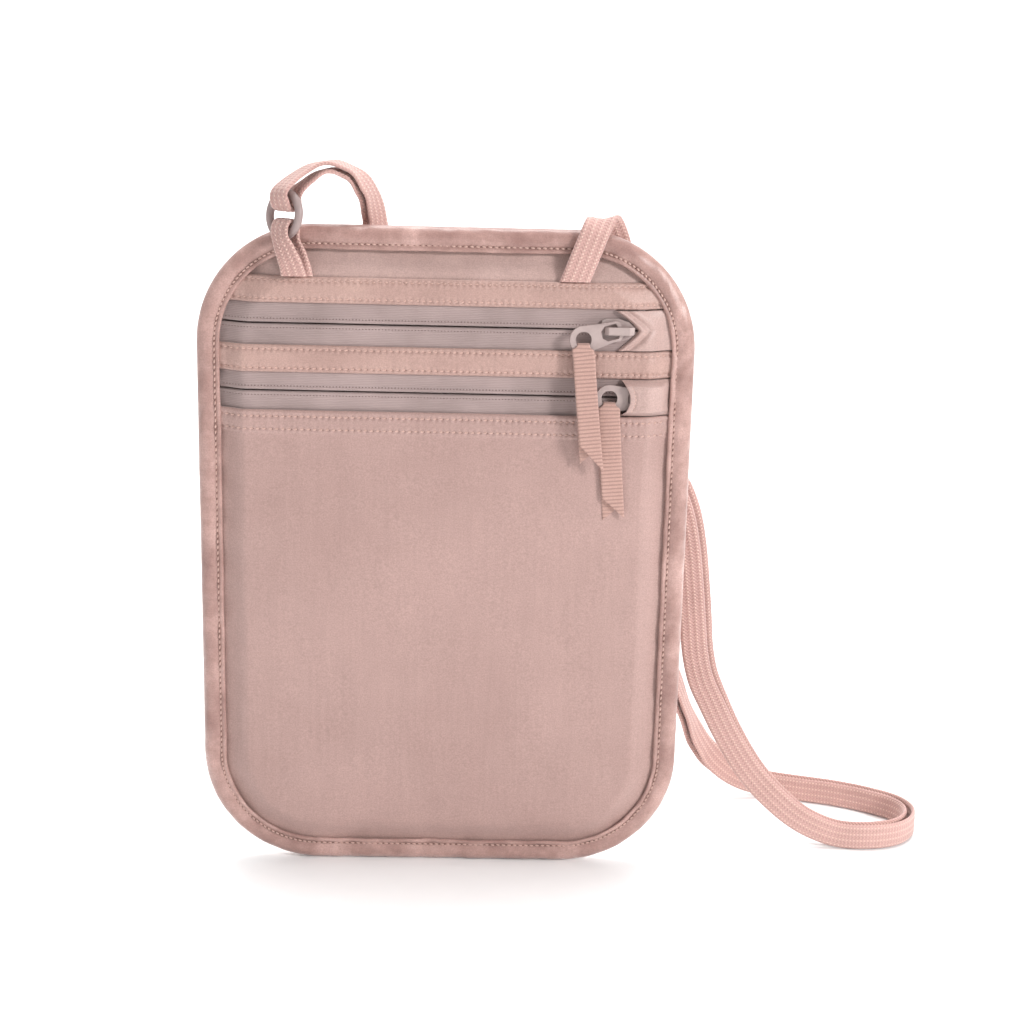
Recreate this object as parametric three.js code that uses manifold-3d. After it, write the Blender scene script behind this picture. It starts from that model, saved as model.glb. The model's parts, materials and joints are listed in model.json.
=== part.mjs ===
// Neck pouch wallet: a flat fabric pouch with two zipped pockets, worn on a neck strap.
// Millimetres. +X is the wearer's left as seen from the front, the front faces -Y, +Z is up.
// The origin is the middle of the flat back, which lies against the wearer's chest.
import * as THREE from 'three';
import { mergeVertices } from 'three/addons/utils/BufferGeometryUtils.js';
import Module from 'manifold-3d';

const wasm = await Module();
wasm.setup();

// ---- driving dimensions ----
const WIDTH = 146;              // pouch, across
const HEIGHT = 197;             // pouch, top to bottom
const CORNER = 35;              // radius of all four corners
const GAP = 0.3;                // air between touching pieces
const CLOTH = 0.5;              // thickness of a panel, a facing or a zip tape
const BINDING = 0.6;            // thickness of the binding tape
const BINDING_WIDTH = 7;        // how far the binding covers the edge
const SEAM_END = 7.3;           // the layers lie flat together from the edge to here
const PUFF_END = 10.5;          // from here inwards the panels are flat again
const POCKET_FRONT = 4.95;      // clear depth of the front pocket
const POCKET_REAR = 4.55;       // clear depth of the rear pocket

const TOP = HEIGHT / 2;
const SIDE = WIDTH / 2;

// heights of the bands across the front, from the pouch's centre
const FACING_TOP = 83.8;        // upper facing strip, top edge
const FACING_BOTTOM = 76.2;
const UPPER_ZIP = 70.2;         // middle of the upper zip
const MIDDLE_TOP = 64.0;        // middle facing strip, top edge
const MIDDLE_BOTTOM = 56.0;
const LOWER_ZIP = 50.5;         // middle of the lower zip
const PANEL_TOP = 44.9;         // top edge of the front panel

// zips
const CHAIN_GAP = 0.55;         // from a zip's middle to each tape's inner edge
const COIL_RADIUS = 0.7;
const CHAIN_LEFT = -58;         // the flat run that a slider can travel
const CHAIN_RIGHT = { upper: 56, lower: 62 };
const TAPE_RIGHT = { upper: 57.5, lower: 62.5 };
const SLIDER_UPPER_X = 45.9;    // left foot of the upper slider's crown
const SLIDER_LOWER_X = 53.7;    // the lower slider is tucked under its end tab
const CROWN_LENGTH = 8.4;
const CROWN_WIDTH = 2.2;
const CROWN_RISE = 1.6;         // outer face of the crown, out from the pull tab's hinge
const HINGE_RISE = 0.95;        // hinge, out from the slider's front plate
const PLATE = 0.7;              // slider front and back plates

// pull tabs: lengths run from the hinge bar to the ring hole
const PULL_LENGTH = 11;
const PULL_THICK = 0.9;
const PULL_RING = 4;            // outer radius round the hole
const PULL_HOLE = 2.35;
const KEYHOLE_END = 5.5;
const KEYHOLE_HALF = 2.2;
const UPPER_PULL_HINGE_X = 50.2;
const UPPER_PULL_DROOP = 15;    // degrees below level, pointing left
const UPPER_PULL_LIFT = 6;      // degrees off the pouch
const LOWER_PULL_HINGE_X = 58.8;
const LOWER_PULL_LIFT = 2;

// the lower end tab bulges over its slider
const TUNNEL_RISE = 3.7;
const TUNNEL_HALF = 5.3;

// strap: flat hollow braid
const STRAP_WIDTH = 8.3;
const STRAP_THICK = 1.4;
const RING_RADIUS = 6.1;        // to the middle of the wire
const RING_WIRE = 1.2;          // wire radius
const RING_CENTRE = new THREE.Vector3(-46.3, -11.9, 101.2);
const RING_TURN = 42;           // degrees about the vertical
const RING_LEAN = 8;           // degrees, the top leaning back

// ---- layers, as y values where the pouch is flat and at its edge ----
const edgeMiddle = -(CLOTH + POCKET_REAR + CLOTH / 2);
const DIVIDER_FRONT = edgeMiddle - CLOTH / 2;
const TAPE_FRONT = { flat: DIVIDER_FRONT - POCKET_FRONT + GAP, edge: DIVIDER_FRONT - GAP - CLOTH };
const PANEL_FRONT = { flat: TAPE_FRONT.flat - GAP - CLOTH, edge: TAPE_FRONT.edge - GAP - CLOTH };
const BACK_FRONT = { flat: -CLOTH, edge: edgeMiddle + CLOTH / 2 + GAP };
const PLATE_FRONT = TAPE_FRONT.flat - GAP - PLATE;
const HINGE_Y = PLATE_FRONT - HINGE_RISE;

// ---- materials ----
function cloth(colour, roughness) {
  return new THREE.MeshStandardMaterial({ color: colour, roughness, metalness: 0 });
}
const satin = cloth(0xcba79d, 0.5);
const lining = cloth(0xc49d94, 0.7);
const facing = cloth(0xd3aea3, 0.55);
const bindingCloth = cloth(0xc59a8e, 0.4);
const tapeCloth = cloth(0xb09b99, 0.7);
const coilNylon = cloth(0x8f7876, 0.45);
const paintedMetal = new THREE.MeshStandardMaterial({ color: 0xa69a98, roughness: 0.4, metalness: 0.3 });
const ribbon = cloth(0xd9a999, 0.75);
const braid = cloth(0xd9b0a6, 0.8);
const plastic = cloth(0xb3a5a1, 0.4);

// ---- helpers ----
const part = new THREE.Group();

function add(name, geometry, material) {
  const mesh = new THREE.Mesh(geometry, material);
  mesh.name = name;
  part.add(mesh);
  return mesh;
}

function smooth(t) {
  const c = Math.min(Math.max(t, 0), 1);
  return c * c * (3 - 2 * c);
}

// How far a point of the outline's plane lies inside the rounded rectangle.
function depthInside(x, z) {
  const qx = Math.abs(x) - (SIDE - CORNER);
  const qz = Math.abs(z) - (TOP - CORNER);
  const outside = Math.hypot(Math.max(qx, 0), Math.max(qz, 0));
  return CORNER - outside - Math.min(Math.max(qx, qz), 0);
}

// Half the pouch's width at height z, along the outline drawn in by inset.
function halfWidth(z, inset) {
  const up = Math.abs(z) - (TOP - CORNER);
  const r = CORNER - inset;
  if (up <= 0) {
    return SIDE - inset;
  }
  return SIDE - CORNER + Math.sqrt(Math.max(r * r - up * up, 0));
}

// The y of a layer that lies flat at the edge and stands off in the middle.
function layer({ flat, edge }, x, z) {
  const t = (depthInside(x, z) - SEAM_END) / (PUFF_END - SEAM_END);
  return edge + (flat - edge) * smooth(t);
}

function closedGeometry(vertices, triangles) {
  const g = new THREE.BufferGeometry();
  g.setAttribute('position', new THREE.Float32BufferAttribute(vertices.flat(), 3));
  g.setIndex(triangles.flat());
  return g;
}

// A sheet on a grid of heights and columns, each column an x or a function of height.
// front(x, z) and back(x, z) are the y of its two faces.
function sheet({ heights, columns, front, back = (x, z) => front(x, z) + CLOTH }) {
  const cols = columns.length;
  const rows = heights.length;
  const vertices = [];
  for (const face of [front, back]) {
    for (const z of heights) {
      for (const column of columns) {
        const x = typeof column === 'number' ? column : column(z);
        vertices.push([x, face(x, z), z]);
      }
    }
  }
  const at = (side, r, c) => (side * rows + r) * cols + c;
  const triangles = [];
  const quad = (a, b, c, d) => triangles.push([a, b, c], [a, c, d]);
  for (let r = 0; r + 1 < rows; r++) {
    for (let c = 0; c + 1 < cols; c++) {
      quad(at(0, r, c), at(0, r, c + 1), at(0, r + 1, c + 1), at(0, r + 1, c));
      quad(at(1, r, c), at(1, r + 1, c), at(1, r + 1, c + 1), at(1, r, c + 1));
    }
    quad(at(0, r, 0), at(0, r + 1, 0), at(1, r + 1, 0), at(1, r, 0));
    quad(at(0, r, cols - 1), at(1, r, cols - 1), at(1, r + 1, cols - 1), at(0, r + 1, cols - 1));
  }
  for (let c = 0; c + 1 < cols; c++) {
    quad(at(0, 0, c), at(1, 0, c), at(1, 0, c + 1), at(0, 0, c + 1));
    quad(at(0, rows - 1, c), at(0, rows - 1, c + 1), at(1, rows - 1, c + 1), at(1, rows - 1, c));
  }
  return closedGeometry(vertices, triangles);
}

// Column places across a full-width sheet, close together where the layers slope at the sides.
const EDGE_INSET = BINDING + GAP;
const SLOPE_INSETS = [EDGE_INSET, SEAM_END, 8.4, 9.4, PUFF_END];

// The pouch's outline drawn in by inset, anticlockwise as [x, z].
const CORNER_STEPS = 7;
function outline(inset) {
  const points = [];
  for (let corner = 0; corner < 4; corner++) {
    const cx = (corner === 0 || corner === 3 ? 1 : -1) * (SIDE - CORNER);
    const cz = (corner < 2 ? 1 : -1) * (TOP - CORNER);
    for (let k = 0; k <= CORNER_STEPS; k++) {
      const a = (corner + k / CORNER_STEPS) * Math.PI / 2;
      points.push([cx + (CORNER - inset) * Math.cos(a), cz + (CORNER - inset) * Math.sin(a)]);
    }
  }
  return points;
}

// A whole layer of the pouch: rings of the outline from its edge in to where it is flat.
function wholeLayer({ flat, edge }) {
  const rings = SLOPE_INSETS.map((inset) => {
    const y = edge + (flat - edge) * smooth((inset - SEAM_END) / (PUFF_END - SEAM_END));
    return { y, points: outline(inset) };
  });
  const n = rings[0].points.length;
  const vertices = [];
  for (const back of [0, CLOTH]) {
    for (const { y, points } of rings) {
      vertices.push(...points.map(([x, z]) => [x, y + back, z]));
    }
  }
  const at = (side, ring, k) => (side * rings.length + ring) * n + k % n;
  const triangles = [];
  const last = rings.length - 1;
  for (let k = 0; k < n; k++) {
    for (let ring = 0; ring < last; ring++) {
      const [p, q, r, t] = [at(0, ring, k), at(0, ring, k + 1), at(0, ring + 1, k + 1), at(0, ring + 1, k)];
      triangles.push([p, q, r], [p, r, t]);
      const [u, v, w, x] = [at(1, ring, k), at(1, ring, k + 1), at(1, ring + 1, k + 1), at(1, ring + 1, k)];
      triangles.push([u, w, v], [u, x, w]);
    }
    triangles.push([at(0, 0, k), at(1, 0, k + 1), at(0, 0, k + 1)]);
    triangles.push([at(0, 0, k), at(1, 0, k), at(1, 0, k + 1)]);
  }
  for (let k = 1; k + 1 < n; k++) {
    triangles.push([at(0, last, 0), at(0, last, k), at(0, last, k + 1)]);
    triangles.push([at(1, last, 0), at(1, last, k + 1), at(1, last, k)]);
  }
  return closedGeometry(vertices, triangles);
}

function solidOf(geometry) {
  const g = geometry.clone();
  g.deleteAttribute('normal');
  g.deleteAttribute('uv');
  const merged = mergeVertices(g, 1e-5);
  return new wasm.Manifold(new wasm.Mesh({
    numProp: 3,
    vertProperties: new Float32Array(merged.attributes.position.array),
    triVerts: new Uint32Array(merged.index.array),
  }));
}

function join(...geometries) {
  const whole = geometries.map(solidOf).reduce((a, b) => a.add(b)).getMesh();
  const g = new THREE.BufferGeometry();
  g.setAttribute('position', new THREE.Float32BufferAttribute(whole.vertProperties, 3));
  g.setIndex(Array.from(whole.triVerts));
  return g;
}

// The part of a whole layer that lies within an outline of [x, z] points.
function cutLayer(levels, points) {
  const whole = solidOf(wholeLayer(levels));
  const cutter = solidOf(plateXZ(points, -40, 60));
  const kept = whole.intersect(cutter).getMesh();
  const g = new THREE.BufferGeometry();
  g.setAttribute('position', new THREE.Float32BufferAttribute(kept.vertProperties, 3));
  g.setIndex(Array.from(kept.triVerts));
  return g;
}

function band(levels, bottom, top, left = -SIDE, right = SIDE) {
  return cutLayer(levels, [[left, bottom], [right, bottom], [right, top], [left, top]]);
}

// An outline drawn in X and Z, extruded along Y from yFront back by depth.
function plateXZ(points, yFront, depth) {
  const shape = new THREE.Shape(points.map(([x, z]) => new THREE.Vector2(x, z)));
  const g = new THREE.ExtrudeGeometry(shape, { depth, bevelEnabled: false });
  g.rotateX(Math.PI / 2);
  g.translate(0, yFront + depth, 0);
  return g;
}

// ---- panels and strips ----
add('back_panel', wholeLayer(BACK_FRONT), satin);
add('front_panel', band(PANEL_FRONT, -TOP, PANEL_TOP), satin);
const TOP_PANEL_BOTTOM = 79.3;
add('top_panel', band(TAPE_FRONT, TOP_PANEL_BOTTOM, TOP), satin);

// The divider hangs behind the lower zip, and its top comes forward to the middle facing.
const CORNER_ROWS = [EDGE_INSET, 3.2, 6.5, 11, 17, 25, CORNER];   // heights above the bottom edge
const DIVIDER_BEND = 57.8;
const DIVIDER_TOP = 61;
function dividerFace(level, bend) {
  return (x, z) => {
    const forward = Math.min(Math.max(z - bend, 0), 1);
    return DIVIDER_FRONT + level + (layer(TAPE_FRONT, x, z) - DIVIDER_FRONT) * forward;
  };
}
add('pocket_divider', sheet({
  heights: [...CORNER_ROWS.map((d) => d - TOP), 0, DIVIDER_BEND, DIVIDER_BEND + 0.4, DIVIDER_BEND + 1,
    DIVIDER_BEND + 1.4, DIVIDER_TOP],
  columns: [
    ...SLOPE_INSETS.map((inset) => (z) => -halfWidth(z, EDGE_INSET) + inset - EDGE_INSET),
    ...SLOPE_INSETS.map((inset) => (z) => halfWidth(z, EDGE_INSET) - inset + EDGE_INSET).reverse(),
  ],
  front: dividerFace(0, DIVIDER_BEND),
  back: dividerFace(CLOTH, DIVIDER_BEND + 0.4),
}), lining);

add('upper_facing_strip', band(PANEL_FRONT, FACING_BOTTOM, FACING_TOP), facing);
add('middle_facing_strip', band(PANEL_FRONT, MIDDLE_BOTTOM, MIDDLE_TOP), facing);

// ---- binding: a U section round the whole outline ----
function bindingGeometry() {
  const front = PANEL_FRONT.edge - GAP;
  const back = BACK_FRONT.edge + CLOTH + GAP;
  const w = BINDING_WIDTH;
  const section = [
    [0, front], [0.5, front - BINDING], [w, front - BINDING], [w, front], [BINDING, front],
    [BINDING, back], [w, back], [w, back + BINDING], [0.5, back + BINDING], [0, back],
  ];
  const rings = section.map(([inset, y]) => outline(inset).map(([x, z]) => [x, y, z]));
  const vertices = rings[0].flatMap((_, k) => rings.map((ring) => ring[k]));
  const n = section.length;
  const stations = vertices.length / n;
  const triangles = [];
  for (let s = 0; s < stations; s++) {
    for (let k = 0; k < n; k++) {
      const a = s * n + k;
      const b = s * n + (k + 1) % n;
      const c = ((s + 1) % stations) * n + (k + 1) % n;
      const d = ((s + 1) % stations) * n + k;
      triangles.push([a, c, b], [a, d, c]);
    }
  }
  return closedGeometry(vertices, triangles);
}
add('edge_binding', bindingGeometry(), bindingCloth);

// ---- zips ----
const COIL_SIDES = 8;

function tape(name, right, inner, outer) {
  const [bottom, top] = [inner, outer].sort((a, b) => a - b);
  add(name, band(TAPE_FRONT, bottom, top, -SIDE, right), tapeCloth);
}

function coil(name, right, z) {
  const g = new THREE.CylinderGeometry(COIL_RADIUS, COIL_RADIUS, right - CHAIN_LEFT, COIL_SIDES);
  g.rotateZ(Math.PI / 2);
  g.translate((CHAIN_LEFT + right) / 2, TAPE_FRONT.flat + CLOTH + GAP + COIL_RADIUS, z);
  add(name, g, coilNylon);
}

// A slider: front and back plates, a web between the two chains, and the crown that holds the pull.
function sliderGeometry(x0, z0) {
  const outline = [
    [-0.9, -2.8], [0.3, -3.4], [4, -3.4], [7, -2.4], [8.7, -0.7],
    [8.7, 0.7], [7, 2.4], [4, 3.4], [0.3, 3.4], [-0.9, 2.8],
  ];
  const front = plateXZ(outline, PLATE_FRONT, PLATE);
  const backPlateFront = TAPE_FRONT.flat + CLOTH + 2 * GAP + 2 * COIL_RADIUS;
  const back = plateXZ(outline, backPlateFront, PLATE);
  const web = new THREE.BoxGeometry(3.4, backPlateFront - PLATE_FRONT - PLATE + 0.4, CHAIN_GAP - GAP);
  web.translate(6.2, (backPlateFront + PLATE_FRONT + PLATE) / 2, 0);
  const sunk = -HINGE_RISE - 0.3;
  const inner = CROWN_RISE - 0.7;
  const end = CROWN_LENGTH;
  const arch = new THREE.Shape([
    [0, sunk], [0, 0.4], [1, CROWN_RISE], [end - 1.4, CROWN_RISE], [end, 0.5], [end, sunk],
    [end - 0.8, sunk], [end - 0.8, 0.2], [end - 1.7, inner], [1.4, inner], [0.85, 0.3], [0.85, sunk],
  ].map(([u, v]) => new THREE.Vector2(u, -v)));
  const crown = new THREE.ExtrudeGeometry(arch, { depth: CROWN_WIDTH, bevelEnabled: false });
  crown.translate(0, HINGE_Y, -CROWN_WIDTH / 2);
  const g = join(front, back, web, crown);
  g.translate(x0, 0, z0);
  return g;
}

// A pull tab in its own plane: the hinge bar at the origin, the ring hole along +X, thick along Y.
function pullTabGeometry() {
  const shape = new THREE.Shape();
  const lean = Math.asin((PULL_RING - 2.9) / (PULL_LENGTH - 3));
  shape.absarc(PULL_LENGTH, 0, PULL_RING, -(Math.PI / 2 + lean), Math.PI / 2 + lean, false);
  shape.lineTo(3, 2.95);
  shape.lineTo(0.6, 2.9);
  shape.lineTo(-0.55, 2);
  shape.lineTo(-0.55, -2);
  shape.lineTo(0.6, -2.9);
  shape.lineTo(3, -2.95);
  const hole = new THREE.Path();
  hole.absarc(PULL_LENGTH, 0, PULL_HOLE, 0, Math.PI * 2, true);
  const keyhole = new THREE.Path([
    [0.55, -1.6], [0.9, -KEYHOLE_HALF], [KEYHOLE_END - 1.2, -KEYHOLE_HALF], [KEYHOLE_END, -1],
    [KEYHOLE_END, 1], [KEYHOLE_END - 1.2, KEYHOLE_HALF], [0.9, KEYHOLE_HALF], [0.55, 1.6],
  ].map(([x, y]) => new THREE.Vector2(x, y)));
  shape.holes.push(hole, keyhole);
  const g = new THREE.ExtrudeGeometry(shape, { depth: PULL_THICK, bevelEnabled: false, curveSegments: 20 });
  g.translate(0, 0, -PULL_THICK / 2);
  g.rotateX(Math.PI / 2);
  return g;
}

// A strip of ribbon through a list of stations {at, wide, width}: at is its middle, wide the direction
// across it. start and end slant its two cut ends.
function ribbonGeometry(stations, thick, start, end) {
  const vertices = [];
  stations.forEach(({ at, wide, width }, k) => {
    const next = stations[Math.min(k + 1, stations.length - 1)].at;
    const last = stations[Math.max(k - 1, 0)].at;
    const along = next.clone().sub(last).normalize();
    const w = wide.clone().addScaledVector(along, -wide.dot(along)).normalize();
    const face = along.clone().cross(w);
    const slant = k === 0 ? start : k === stations.length - 1 ? end : 0;
    for (const [sw, sf] of [[-1, -1], [1, -1], [1, 1], [-1, 1]]) {
      const p = at.clone()
        .addScaledVector(w, sw * width / 2)
        .addScaledVector(face, sf * thick / 2)
        .addScaledVector(along, sw * slant / 2);
      vertices.push(p.toArray());
    }
  });
  const triangles = [[0, 2, 1], [0, 3, 2]];
  const last = (stations.length - 1) * 4;
  triangles.push([last, last + 1, last + 2], [last, last + 2, last + 3]);
  for (let s = 0; s + 1 < stations.length; s++) {
    for (let k = 0; k < 4; k++) {
      const a = s * 4 + k;
      const b = s * 4 + (k + 1) % 4;
      triangles.push([a, b, b + 4], [a, b + 4, a + 4]);
    }
  }
  return closedGeometry(vertices, triangles);
}

const zips = [
  {
    name: 'upper', z: UPPER_ZIP, sliderX: SLIDER_UPPER_X,
    above: FACING_BOTTOM, below: MIDDLE_TOP, under: { top: 2.8, bottom: 2.7 },
  },
  {
    name: 'lower', z: LOWER_ZIP, sliderX: SLIDER_LOWER_X,
    above: MIDDLE_BOTTOM, below: PANEL_TOP, under: { top: 1.5, bottom: 3.4 },
  },
];
const COIL_OUT = CHAIN_GAP + COIL_RADIUS;
for (const { name, z, above, below, under, sliderX } of zips) {
  tape(`${name}_zip_tape_top`, TAPE_RIGHT[name], z + CHAIN_GAP, above + under.top);
  tape(`${name}_zip_tape_bottom`, TAPE_RIGHT[name], z - CHAIN_GAP, below - under.bottom);
  coil(`${name}_zip_coil_top`, CHAIN_RIGHT[name], z + COIL_OUT);
  coil(`${name}_zip_coil_bottom`, CHAIN_RIGHT[name], z - COIL_OUT);
  add(`${name}_slider`, sliderGeometry(sliderX, z), paintedMetal);
}

// Satin patches over the right end of each zip: the upper one flat with a pointed notch, the lower
// one arched over the slider that is parked under it.
add('upper_zip_end_tab', cutLayer(PANEL_FRONT, [
  [50.2, MIDDLE_TOP + GAP], [SIDE, MIDDLE_TOP + GAP], [SIDE, FACING_BOTTOM - GAP], [49, FACING_BOTTOM - GAP],
  [56.4, UPPER_ZIP],
]), satin);

// 1 inside the tunnel, 0 outside it, with 1 mm of wall between.
function tunnelShare(x, z, wall) {
  const up = TUNNEL_HALF - wall - Math.abs(z - LOWER_ZIP);
  const along = (65.4 - wall - x) / 2;
  return Math.min(Math.max(Math.min(up, along), 0), 1);
}
function tunnelLeft(z) {
  const t = (z - LOWER_ZIP) / TUNNEL_HALF;
  return 53.8 - 2.6 * t * t;
}
const WALL = 0.5;
const tunnelRows = [0, WALL, 1, 1 + WALL].map((d) => TUNNEL_HALF - d);
add('lower_zip_end_tab', sheet({
  heights: [...tunnelRows.map((d) => LOWER_ZIP - d), LOWER_ZIP - 2, LOWER_ZIP, LOWER_ZIP + 2,
    ...tunnelRows.map((d) => LOWER_ZIP + d).reverse()],
  columns: [tunnelLeft, 56, 59, 62, 62.5, 62.9, 63.4, 64.1, 64.9, 65.4, SIDE - SEAM_END, SIDE - EDGE_INSET],
  front: (x, z) => layer(PANEL_FRONT, x, z) - TUNNEL_RISE * tunnelShare(x, z, 0),
  back: (x, z) => layer(PANEL_FRONT, x, z) + CLOTH - TUNNEL_RISE * tunnelShare(x, z, WALL),
}), satin);

// ---- pulls and their ribbons ----
const rad = THREE.MathUtils.degToRad;
const v3 = (x, y, z) => new THREE.Vector3(x, y, z);
// A pull tab hung at its hinge, pointing left: droop turns it down, lift turns it off the pouch.
// Gives back the middle of its ring hole.
function hangPull(name, hinge, droopDegrees, liftDegrees) {
  const droop = rad(droopDegrees);
  const lift = rad(liftDegrees);
  const level = Math.cos(lift);
  const along = v3(-Math.cos(droop) * level, -Math.sin(lift), -Math.sin(droop) * level);
  const axis = new THREE.Vector3(-Math.sin(droop), 0, Math.cos(droop));
  const pull = add(name, pullTabGeometry(), paintedMetal);
  pull.position.copy(hinge);
  const turn = new THREE.Matrix4().makeBasis(along, axis.clone().cross(along), axis);
  pull.quaternion.setFromRotationMatrix(turn);
  return hinge.clone().addScaledVector(along, PULL_LENGTH);
}
const upperHinge = new THREE.Vector3(UPPER_PULL_HINGE_X, HINGE_Y, UPPER_ZIP + 0.25);
const lowerHinge = new THREE.Vector3(LOWER_PULL_HINGE_X, HINGE_Y, LOWER_ZIP);
const upperHole = hangPull('upper_pull_tab', upperHinge, UPPER_PULL_DROOP, UPPER_PULL_LIFT);
const lowerHole = hangPull('lower_pull_tab', lowerHinge, 0, LOWER_PULL_LIFT);

const RIBBON_WIDTH = 6.35;
const RIBBON_THICK = 0.5;
const NECK_WIDTH = 2.4;         // the ribbon is gathered where it passes the hole

// A ribbon folded double through a pull's hole. Each layer's stations are [right, towards the front, up]
// from the middle of the hole.
const across = v3(1, 0, 0);
function foldedRibbon(name, hole, frontLayer, backLayer) {
  const station = (width) => ([right, out, up]) => {
    const at = hole.clone().add(v3(right, -out, up));
    return { at, wide: across, width };
  };
  const neck = [[0, -1.0, -3.4], [0, -0.95, -1.8], [0, 0, -1.2], [0, 1.0, -1.8], [0, 1.2, -3.4]];
  const stations = [
    ...backLayer.map(station(RIBBON_WIDTH)).reverse(),
    ...neck.map(station(NECK_WIDTH)),
    ...frontLayer.map(station(RIBBON_WIDTH)),
  ];
  add(name, ribbonGeometry(stations, RIBBON_THICK, -5, -6.5), ribbon);
}
foldedRibbon('upper_ribbon_pull', upperHole, [
  [0.3, 1.5, -5.5], [0.9, 2.4, -12], [1.6, 3.0, -19], [2.6, 3.0, -28], [3.7, 2.6, -37],
], [
  [0.3, -0.9, -5.5], [0.9, 1.3, -12], [1.6, 2.0, -19], [2.4, 1.9, -28], [3.2, 1.4, -36],
]);
foldedRibbon('lower_ribbon_pull', lowerHole, [
  [0.1, 1.2, -5.6], [0.6, 1.0, -12], [1.2, 0.6, -20], [2.6, 0.4, -36],
], [
  [0.1, -0.5, -5.6], [0.6, 0.1, -12], [1.2, -0.3, -20], [2.4, -0.5, -34],
]);

// ---- strap ring and the tab that holds it ----
const turn = rad(RING_TURN);
const lean = rad(RING_LEAN);
const ringAxis = v3(-Math.sin(turn) * Math.cos(lean), -Math.cos(turn) * Math.cos(lean), Math.sin(lean));
const ringAcross = v3(Math.cos(turn), -Math.sin(turn), 0);
const ringUp = ringAcross.clone().cross(ringAxis).negate();
const ring = add('strap_ring', new THREE.TorusGeometry(RING_RADIUS, RING_WIRE, 8, 32), plastic);
ring.position.copy(RING_CENTRE);
const ringBasis = new THREE.Matrix4().makeBasis(ringAcross, ringUp, ringAcross.clone().cross(ringUp));
ring.quaternion.setFromRotationMatrix(ringBasis);

// A flat strap through given points, each with the direction across the strap there.
class StrapPath extends THREE.Curve {
  constructor(stations) {
    super();
    this.points = stations.map(({ at }) => at);
    this.across = stations.map(({ wide }) => wide);
  }

  getPoint(t) {
    return new THREE.CatmullRomCurve3(this.points).getPoint(t);
  }

  getSpacedPoints() {
    return this.points.map((p) => p.clone());
  }

  computeFrenetFrames() {
    const last = this.points.length - 1;
    const tangents = this.points.map((p, k) => this.points[Math.min(k + 1, last)].clone()
      .sub(this.points[Math.max(k - 1, 0)]).normalize());
    const normals = this.across.map((w, k) => {
      const slant = k === 0 || k === last ? 0 : w.dot(tangents[k]);
      return w.clone().addScaledVector(tangents[k], -slant).normalize();
    });
    const binormals = tangents.map((t, k) => t.clone().cross(normals[k]).normalize());
    return { tangents, normals, binormals };
  }
}

function strapGeometry(stations, width, thick) {
  const w = width / 2;
  const t = thick / 2;
  const section = new THREE.Shape([
    [w, -t * 0.4], [w, t * 0.4], [w - t, t], [t - w, t],
    [-w, t * 0.4], [-w, -t * 0.4], [t - w, -t], [w - t, -t],
  ].map(([x, y]) => new THREE.Vector2(x, y)));
  const path = new StrapPath(stations);
  return new THREE.ExtrudeGeometry(section, { steps: stations.length - 1, extrudePath: path });
}

// A point near the ring: across it, up it, and out along its axis.
function byRing(acrossRing, up, out) {
  return RING_CENTRE.clone()
    .addScaledVector(ringAcross, acrossRing)
    .addScaledVector(ringUp, up)
    .addScaledVector(ringAxis, out);
}

const TAB_THICK = 1.2;
const TAB_WIDTH = 7.2;
const TAB_FOOT = FACING_TOP + GAP;
const foldOut = RING_WIRE + GAP + TAB_THICK / 2;
const foldUp = -1.45;
const foldAcross = 0.9;
add('ring_tab', strapGeometry([
  { at: v3(-43.8, PANEL_FRONT.flat - 1.4, TAB_FOOT), wide: v3(1, 0, 0) },
  { at: v3(-44.5, PANEL_FRONT.flat - 3.0, TAB_FOOT + 3.5), wide: v3(0.98, -0.2, 0) },
  { at: v3(-45.9, PANEL_FRONT.flat - 4.1, TAB_FOOT + 7.4), wide: v3(0.9, -0.42, 0) },
  { at: byRing(1.4, -6.4, foldOut + 0.05), wide: ringAcross },
  { at: byRing(foldAcross, foldUp - 1.95, foldOut), wide: ringAcross },
  { at: byRing(foldAcross, foldUp - 0.45, foldOut * 0.6), wide: ringAcross },
  { at: byRing(foldAcross, foldUp, 0), wide: ringAcross },
  { at: byRing(foldAcross, foldUp - 0.45, foldOut * -0.6), wide: ringAcross },
  { at: byRing(foldAcross, foldUp - 1.95, -foldOut), wide: ringAcross },
  { at: byRing(1.4, -6.4, -foldOut - 0.05), wide: ringAcross },
  { at: v3(-43.2, PANEL_FRONT.flat - 0.45, TAB_FOOT + 5.4), wide: v3(0.95, -0.3, 0) },
  { at: v3(-42.0, PANEL_FRONT.flat - 0.15, TAB_FOOT), wide: v3(1, 0, 0) },
], TAB_WIDTH, TAB_THICK), braid);

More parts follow.
